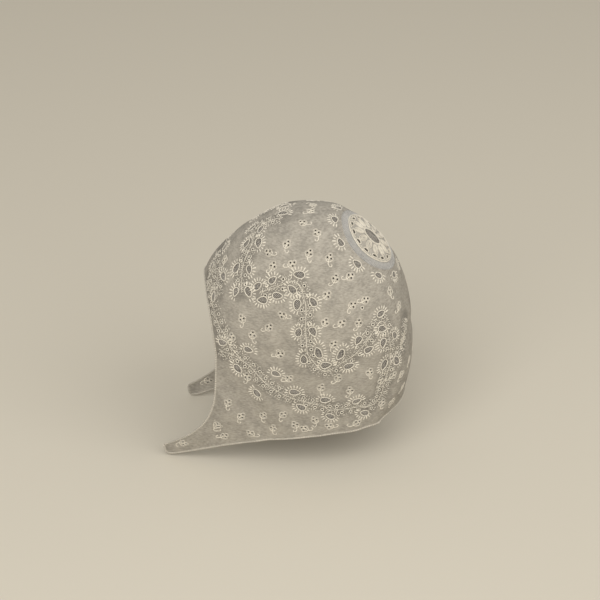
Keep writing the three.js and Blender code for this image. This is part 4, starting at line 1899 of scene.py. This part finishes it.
@dataclass
class CrownMedallion:
    """The worked disc on the back of the head.

    Attributes:
        cloth: The muslin's face.
        plane: The medallion's place on it.
        radius: The disc's radius.
        thickness: Its thickness.
        slot_count: Slots round it.
        slot_radius: The centre to the middle of a slot.
        slot_length: A slot's length.
        slot_width: A slot's width.
        eye_length: Length of the pierced oval in the middle, front to back.
        eye_width: Its width.
        petal_count: Looped petals round the oval.
    """

    cloth: Cloth
    plane: MedallionPlane
    radius: float = 29 * MM
    thickness: float = 0.5 * MM
    slot_count: int = 14
    slot_radius: float = 25 * MM
    slot_length: float = 5.2 * MM
    slot_width: float = 2.6 * MM
    eye_length: float = 19.5 * MM
    eye_width: float = 15 * MM
    petal_count: int = 12

    def slots(self, spare: float, count: int) -> np.ndarray:
        """Outlines of the slots, behind and aside of the centre.

        Args:
            spare: How far outside the holes.
            count: Points round each.

        Returns:
            The outlines, (slot_count, count, 2).
        """
        outline = round_path(self.slot_width / 2 + spare, self.slot_length / 2 + spare, count)
        angle = 2 * math.pi * (np.arange(self.slot_count) + 0.5) / self.slot_count
        cos, sin = np.cos(angle)[:, None], np.sin(angle)[:, None]
        out, along = self.slot_radius + outline[:, 0], outline[:, 1]
        return np.stack([out * cos - along * sin, out * sin + along * cos], -1)

    def eye(self, spare: float, count: int) -> np.ndarray:
        """The outline of the oval."""
        return round_path(self.eye_length / 2 + spare, self.eye_width / 2 + spare, count)

    def on_cloth(self, flat: np.ndarray, lift: float) -> tuple[np.ndarray, np.ndarray]:
        """Places off the disc's face.

        Args:
            flat: Ways behind and aside of the centre, (..., 2).
            lift: How far off.

        Returns:
            The places and the normals.
        """
        spots = self.plane.place(flat[..., 0], flat[..., 1])
        points, normals = self.cloth.at(spots[..., 0], spots[..., 1])
        return points + normals * lift, normals

    def disc(self) -> bpy.types.Mesh:
        """The pierced cloth of the disc."""
        pitch = 1.3 * MM
        rings = round(self.radius / pitch)
        grid = [np.zeros((1, 2))]
        for ring in range(1, rings + 1):
            size = self.radius * ring / rings
            grid.append(round_path(size, size, 6 * ring, ring * 0.3))
        sheet = PiercedSheet(clear=0.5 * MM)
        points, triangles = sheet.cut(
            np.concatenate(grid), [self.eye(0, 40), *self.slots(0, 14)]
        )
        outer, normals = self.on_cloth(points, 0.0)
        triangles = faced(outer, normals, triangles)
        mesh = sheet.walled(outer, outer - normals * self.thickness, triangles).mesh("worked_medallion")
        mesh.set_sharp_from_angle(angle=math.radians(50))
        lay_flat(mesh, np.concatenate([points, points]))
        return mesh

    def cords(self) -> Soup:
        """The raised cords: edges of the holes, looped petals and the disc's own edge."""
        parts = []

        def corded(flat: np.ndarray, half_width: float, ends: Ends = Ends.CLOSED) -> None:
            """Adds cords along flat lines, (N, K, 2)."""
            points, normals = self.on_cloth(flat, 0.2 * MM)
            parts.append(tubes(points, normals, half_width, 0.45 * MM, sides=6, ends=ends))

        corded(self.slots(0.6 * MM, 16), 0.4 * MM)
        corded(self.eye(0.4 * MM, 56)[None], 0.55 * MM)
        corded(round_path(self.radius - 0.3 * MM, self.radius - 0.3 * MM, 120)[None], 0.6 * MM)
        for inset in (0.0, 1.2 * MM, 2.3 * MM):
            corded(self.petals(inset), 0.36 * MM)
        return Soup.joined(parts)

    def scallops(self) -> np.ndarray:
        """Shallow loops between the slots and the disc's edge, (2 * slot_count, K, 2)."""
        turn = np.linspace(0, math.pi, 7)
        angle = math.pi * (np.arange(2 * self.slot_count)[:, None] + turn / math.pi) / self.slot_count
        reach = self.radius - 2.6 * MM + 1.3 * MM * np.sin(turn)
        return np.stack([reach * np.cos(angle), reach * np.sin(angle)], -1)

    def comb(self) -> StitchPaths:
        """The line that the comb of stitches follows, round the oval."""
        return self.lines(self.eye(1.2 * MM, 48)[None], closed=True)

    def petals(self, inset: float) -> np.ndarray:
        """Loops that radiate from the oval.

        Args:
            inset: How far inside the largest loop.

        Returns:
            The loops, (petal_count, K, 2).
        """
        outline = round_path(5.6 * MM - inset, 3.1 * MM - inset * 0.95, 18)
        angle = 2 * math.pi * np.arange(self.petal_count) / self.petal_count
        cos, sin = np.cos(angle)[:, None], np.sin(angle)[:, None]
        reach = 16.2 * MM + 1.2 * MM * np.abs(cos)
        out, along = reach + outline[:, 0] - inset * 0.4, outline[:, 1]
        return np.stack([out * cos - along * sin, out * sin + along * cos], -1)

    def eye_net(self, pitch: float, lift: float) -> Soup:
        """Slanted threads across the oval.

        Args:
            pitch: Thread to thread.
            lift: How far off the cloth's face.

        Returns:
            The threads.
        """
        along = np.linspace(-self.eye_length, self.eye_length, 321)
        lines = []
        for slant in (1, -1):
            for offset in np.arange(-self.eye_length, self.eye_length, pitch * math.sqrt(2)):
                x, y = slant * along / math.sqrt(2), offset + along / math.sqrt(2)
                inside = np.flatnonzero((2 * x / self.eye_length) ** 2 + (2 * y / self.eye_width) ** 2 < 1)
                if len(inside) > 3:
                    picked = inside[np.linspace(0, len(inside) - 1, 4).astype(int)]
                    lines.append(np.stack([x[picked], y[picked]], -1))
        points, normals = self.on_cloth(np.array(lines), lift)
        return tubes(points, normals, 0.2 * MM, 0.12 * MM, sides=4)

    def slot_shadow_threads(self) -> Soup:
        """Short near-black threads across every slot, behind the cloth's face: painted shadow that makes each slot
        read dark.
        """
        along = np.linspace(-0.42, 0.42, 9) * self.slot_length
        reach = self.slot_width / 2 * np.sqrt(1.1 - (2 * along / self.slot_length) ** 2)
        angle = 2 * math.pi * (np.arange(self.slot_count) + 0.5) / self.slot_count
        cos, sin = np.cos(angle)[:, None, None], np.sin(angle)[:, None, None]
        out = self.slot_radius + np.stack([-reach, reach], -1)
        level = np.broadcast_to(along[:, None], out.shape)
        flat = np.stack([out * cos - level * sin, out * sin + level * cos], -1)
        points, normals = self.on_cloth(flat.reshape(-1, 2, 2), -0.4 * MM)
        return tubes(points, normals, 0.26 * MM, 0.1 * MM, sides=4)

    def lines(self, flat: np.ndarray, closed: bool) -> StitchPaths:
        """Stitch lines along flat lines, (N, K, 2)."""
        points, normals = self.on_cloth(flat, 0.25 * MM)
        return StitchPaths(list(points), list(normals), [closed] * len(points))


@dataclass
class RolledHems:
    """The narrow rolled hems along the face and along the neck.

    Attributes:
        cloth: The muslin's face.
        half_width: Half a hem's size along the cloth.
        half_height: Half its size off the cloth.
        stand_off: The cloth's edge to the hem's middle.
        steps: Steps along each edge.
    """

    cloth: Cloth
    half_width: float = 1.05 * MM
    half_height: float = 0.85 * MM
    stand_off: float = 0.8 * MM
    steps: int = 260

    def route(self, hoop: np.ndarray, around: np.ndarray, ahead: np.ndarray, below: np.ndarray) -> tuple:
        """The hem's middle line along an edge.

        Args:
            hoop: Hoops along the edge.
            around: Arounds along it.
            ahead: How far the edge faces forward or back, -1 at the face and 1 at the nape.
            below: How far it faces down the side, with the side's sign.

        Returns:
            Places and normals, (K, 3) each.
        """
        form = self.cloth.form
        frames = form.frames(form.outer, hoop, around)
        points, normals = self.cloth.at(hoop, around)
        backward = np.cross(normals, frames.leftward)
        leftward = np.cross(frames.backward, normals)
        outward = unit(backward * ahead[:, None] + leftward * below[:, None])
        return points + outward * self.stand_off - normals * 0.2 * MM, normals

    def front(self) -> tuple:
        """Route of the hem round the face."""
        around = np.linspace(-1, 1, self.steps)
        flat = np.zeros(self.steps)
        return self.route(flat, around, flat - 1, flat)

    def neck(self) -> tuple:
        """Route of the hem along the lappets and round the nape."""
        rounding = np.radians(np.linspace(0, 90, 7))
        side = np.linspace(0, LAST_HOOP, self.steps)
        nape = np.linspace(1, -1, self.steps)
        hoop = np.concatenate([side, np.full(7, LAST_HOOP), np.full(self.steps, LAST_HOOP)])
        hoop = np.concatenate([hoop, np.full(7, LAST_HOOP), side[::-1]])
        around = np.concatenate([np.ones(self.steps + 7), nape, -np.ones(self.steps + 7)])
        ahead = np.concatenate([0 * side, np.sin(rounding), 0 * side + 1, np.cos(rounding), 0 * side])
        below = np.concatenate([0 * side + 1, np.cos(rounding), 0 * side, -np.sin(rounding), 0 * side - 1])
        points, normals = self.route(hoop, around, ahead, below)
        moved = np.linalg.norm(np.diff(points, axis=0), axis=1) > 0.05 * MM
        kept = np.concatenate([[True], moved])
        return points[kept], normals[kept]

    def mesh(self, name: str, route: tuple) -> bpy.types.Mesh:
        """One hem's mesh.

        Args:
            name: Its name.
            route: Its places and normals.

        Returns:
            The mesh.
        """
        points, normals = route
        roll = tubes(points[None], normals[None], self.half_width, self.half_height, sides=10)
        return roll.mesh(name)

    def seam(self, routes: list) -> StitchPaths:
        """Lines of the whip stitches on the hems."""
        points = [places + normals * self.half_height * 0.8 for places, normals in routes]
        return StitchPaths(points, [normals for _, normals in routes], [False] * len(routes))


@dataclass
class Studio:
    """Camera, lights and floor.

    Attributes:
        azimuth: The camera's angle round the cap, 0 in front of it and 90 on its left.
        elevation: The camera's angle above the horizon.
        target: Where it looks.
        distance: How far it stands.
        lens: Its focal length, in millimetres.
        floor_drop: The floor's distance under the lappets.
    """

    azimuth: float = math.radians(99.5)
    elevation: float = math.radians(29)
    target: tuple[float, float, float] = (0.0, -5 * MM, -103.5 * MM)
    distance: float = 2250 * MM
    lens: float = 135.0
    floor_drop: float = 3 * MM

    def back(self) -> Vector:
        """Direction from the target to the camera."""
        return Vector(
            (
                math.sin(self.azimuth) * math.cos(self.elevation),
                -math.cos(self.azimuth) * math.cos(self.elevation),
                math.sin(self.elevation),
            )
        )

    def aimed(self, item: bpy.types.Object, place: Vector) -> None:
        """Puts an object at a place and turns it to the target."""
        bpy.context.scene.collection.objects.link(item)
        item.location = place
        item.rotation_mode = "QUATERNION"
        item.rotation_quaternion = (Vector(self.target) - place).to_track_quat("-Z", "Y")

    def light(self, name: str, along: tuple[float, float, float], size: float, power: float) -> None:
        """A soft square light.

        Args:
            name: The light's name.
            along: Its place from the target, in metres, to the camera's right, up and back.
            size: Its side.
            power: Its power in watts.
        """
        back = self.back()
        right = Vector((0, 0, 1)).cross(back).normalized()
        up = back.cross(right)
        data = bpy.data.lights.new(name, "AREA")
        data.size = size
        data.energy = power
        place = Vector(self.target) + right * along[0] + up * along[1] + back * along[2]
        self.aimed(bpy.data.objects.new(name, data), place)

    def build(self) -> None:
        """Makes the camera, the lights, the world and the floor."""
        scene = bpy.context.scene
        data = bpy.data.cameras.new("camera")
        data.lens = self.lens
        data.sensor_width = 36
        data.clip_start, data.clip_end = 0.1, 30
        camera = bpy.data.objects.new("camera", data)
        self.aimed(camera, Vector(self.target) + self.back() * self.distance)
        scene.camera = camera
        self.light("key", (-0.9, 0.8, 3.6), 2.6, 91)
        self.light("fill", (2.2, 0.8, 2.8), 3.4, 60)
        self.light("ceiling", (0.0, 2.6, 1.45), 4.0, 12)
        world = bpy.data.worlds.new("paper white")
        world.use_nodes = True
        world.node_tree.nodes["Background"].inputs["Color"].default_value = (1.0, 0.97, 0.92, 1)
        world.node_tree.nodes["Background"].inputs["Strength"].default_value = 0.37
        scene.world = world
        scene.view_settings.view_transform = "Standard"
        self.floor()

    def floor(self) -> None:
        """A wide pale floor under the cap."""
        low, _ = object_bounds()
        level, reach = low.z - self.floor_drop, 12.0
        mesh = bpy.data.meshes.new("floor")
        corners = [(-reach, -reach), (reach, -reach), (reach, reach), (-reach, reach)]
        mesh.from_pydata([(x, y, level) for x, y in corners], [], [(0, 1, 2, 3)])
        material = bpy.data.materials.new("pale floor")
        material.use_nodes = True
        shader = material.node_tree.nodes["Principled BSDF"]
        shader.inputs["Base Color"].default_value = (0.62, 0.57, 0.47, 1)
        shader.inputs["Roughness"].default_value = 1
        shader.inputs["Specular IOR Level"].default_value = 0
        mesh.materials.append(material)
        floor = bpy.data.objects.new("floor", mesh)
        bpy.context.scene.collection.objects.link(floor)
        floor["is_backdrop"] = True


def dress(workroom: Workroom) -> None:
    """Builds every piece of the nightcap.

    Args:
        workroom: Where the pieces are finished.
    """
    cloth = Cloth()
    plane = MedallionPlane(cloth.form)
    pattern = Pattern(cloth.form, plane)
    whitework = Whitework(cloth, pattern)
    headpiece = Headpiece(cloth, pattern)
    medallion = CrownMedallion(cloth, plane)
    hems = RolledHems(cloth)
    white = workroom.finish(WHITEWORK)

    holes = whitework.hole_outlines(headpiece.eyelet_points)
    workroom.add("muslin_headpiece", headpiece.mesh(holes), MUSLIN, ("headpiece",))
    workroom.add("net_ring", NetInsertion(cloth, plane).mesh(), NET, ("net_insertion",))
    workroom.add("worked_medallion", medallion.disc(), WORKED_CLOTH, ("crown_medallion",))
    routes = [hems.front(), hems.neck()]
    workroom.add("rolled_front_hem", hems.mesh("rolled_front_hem", routes[0]), HEM, ("front_hem",))
    workroom.add("rolled_neck_hem", hems.mesh("rolled_neck_hem", routes[1]), HEM, ("neck_hem",))

    # Painted shade: a dark grey net just behind every leaf hole.
    ground = whitework.leaf_net(whitework.shade_net_pitch, 0.2 * MM, -0.4 * MM)
    workroom.add("leaf_grounds", ground.mesh("leaf_grounds"), SHADE_NET)
    threads = whitework.leaf_net(whitework.net_pitch, 0.2 * MM, -0.1 * MM)
    workroom.add("leaf_threads", threads.mesh("leaf_threads"), LEAF_THREAD)
    # Painted shadow: near-black threads behind every eyelet.
    workroom.add("eyelet_grounds", whitework.eyelet_grounds().mesh("eyelet_grounds"), SHADOW_NET)
    workroom.add("leaf_rims", whitework.leaf_rims().mesh("leaf_rims"), WHITEWORK)
    workroom.add("eyelet_rims", whitework.eyelet_rims().mesh("eyelet_rims"), WHITEWORK)
    workroom.add("medallion_cords", medallion.cords().mesh("medallion_cords"), WHITEWORK)
    # Painted shadow: near-black threads behind every slot of the medallion.
    workroom.add("medallion_slot_grounds", medallion.slot_shadow_threads().mesh("slot_shadow_threads"), SHADOW_NET)
    # Painted shade: a dark grey net just behind the medallion's oval.
    ground = medallion.eye_net(whitework.shade_net_pitch, -0.4 * MM)
    workroom.add("medallion_ground", ground.mesh("medallion_ground"), SHADE_NET)
    threads = medallion.eye_net(whitework.net_pitch, -0.1 * MM)
    workroom.add("medallion_threads", threads.mesh("medallion_threads"), LEAF_THREAD)
    workroom.add("sprig_petals", whitework.sprig_petals().mesh("sprig_petals"), WHITEWORK)
    rows = {
        "leaf_rays": (StitchRow(2.75 * MM, 3.9 * MM, 1.4 * MM, 1.15 * MM, Lay.ACROSS), whitework.ray_lines()),
        "vine_stems": (StitchRow(1.6 * MM, 2.2 * MM, 0.8 * MM, 1.1 * MM, Lay.SLANTED), whitework.stem_lines()),
        "sprig_tails": (StitchRow(1.1 * MM, 1.5 * MM, 1.1 * MM, 1.1 * MM), whitework.tail_lines()),
        "medallion_scallops": (
            StitchRow(1.2 * MM, 1.5 * MM, 0.7 * MM, 0.7 * MM),
            medallion.lines(medallion.scallops(), closed=False),
        ),
        "medallion_comb": (StitchRow(1.5 * MM, 2.6 * MM, 0.75 * MM, 0.7 * MM, Lay.ACROSS), medallion.comb()),
        "hem_stitches": (
            StitchRow(2.4 * MM, 1.5 * MM, 0.6 * MM, 0.5 * MM, Lay.ACROSS),
            hems.seam(routes),
        ),
    }
    for name, (row, lines) in rows.items():
        workroom.add(name, row.sewn(name, lines, white), WHITEWORK)
    seeds = SeedStitches(2.5 * MM, 1.05 * MM, 1.1 * MM)
    workroom.add("seed_stitches", seeds.sewn("seed_stitches", whitework.seed_points(), white), WHITEWORK)


def main() -> None:
    """Loads the part, dresses it, and sets the stage."""
    logging.basicConfig(level=logging.INFO, format="%(message)s")
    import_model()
    workroom = Workroom()
    dress(workroom)
    LOG.info("all pieces: %d triangles", workroom.triangles)
    Studio().build()


if __name__ == "__main__":
    main()
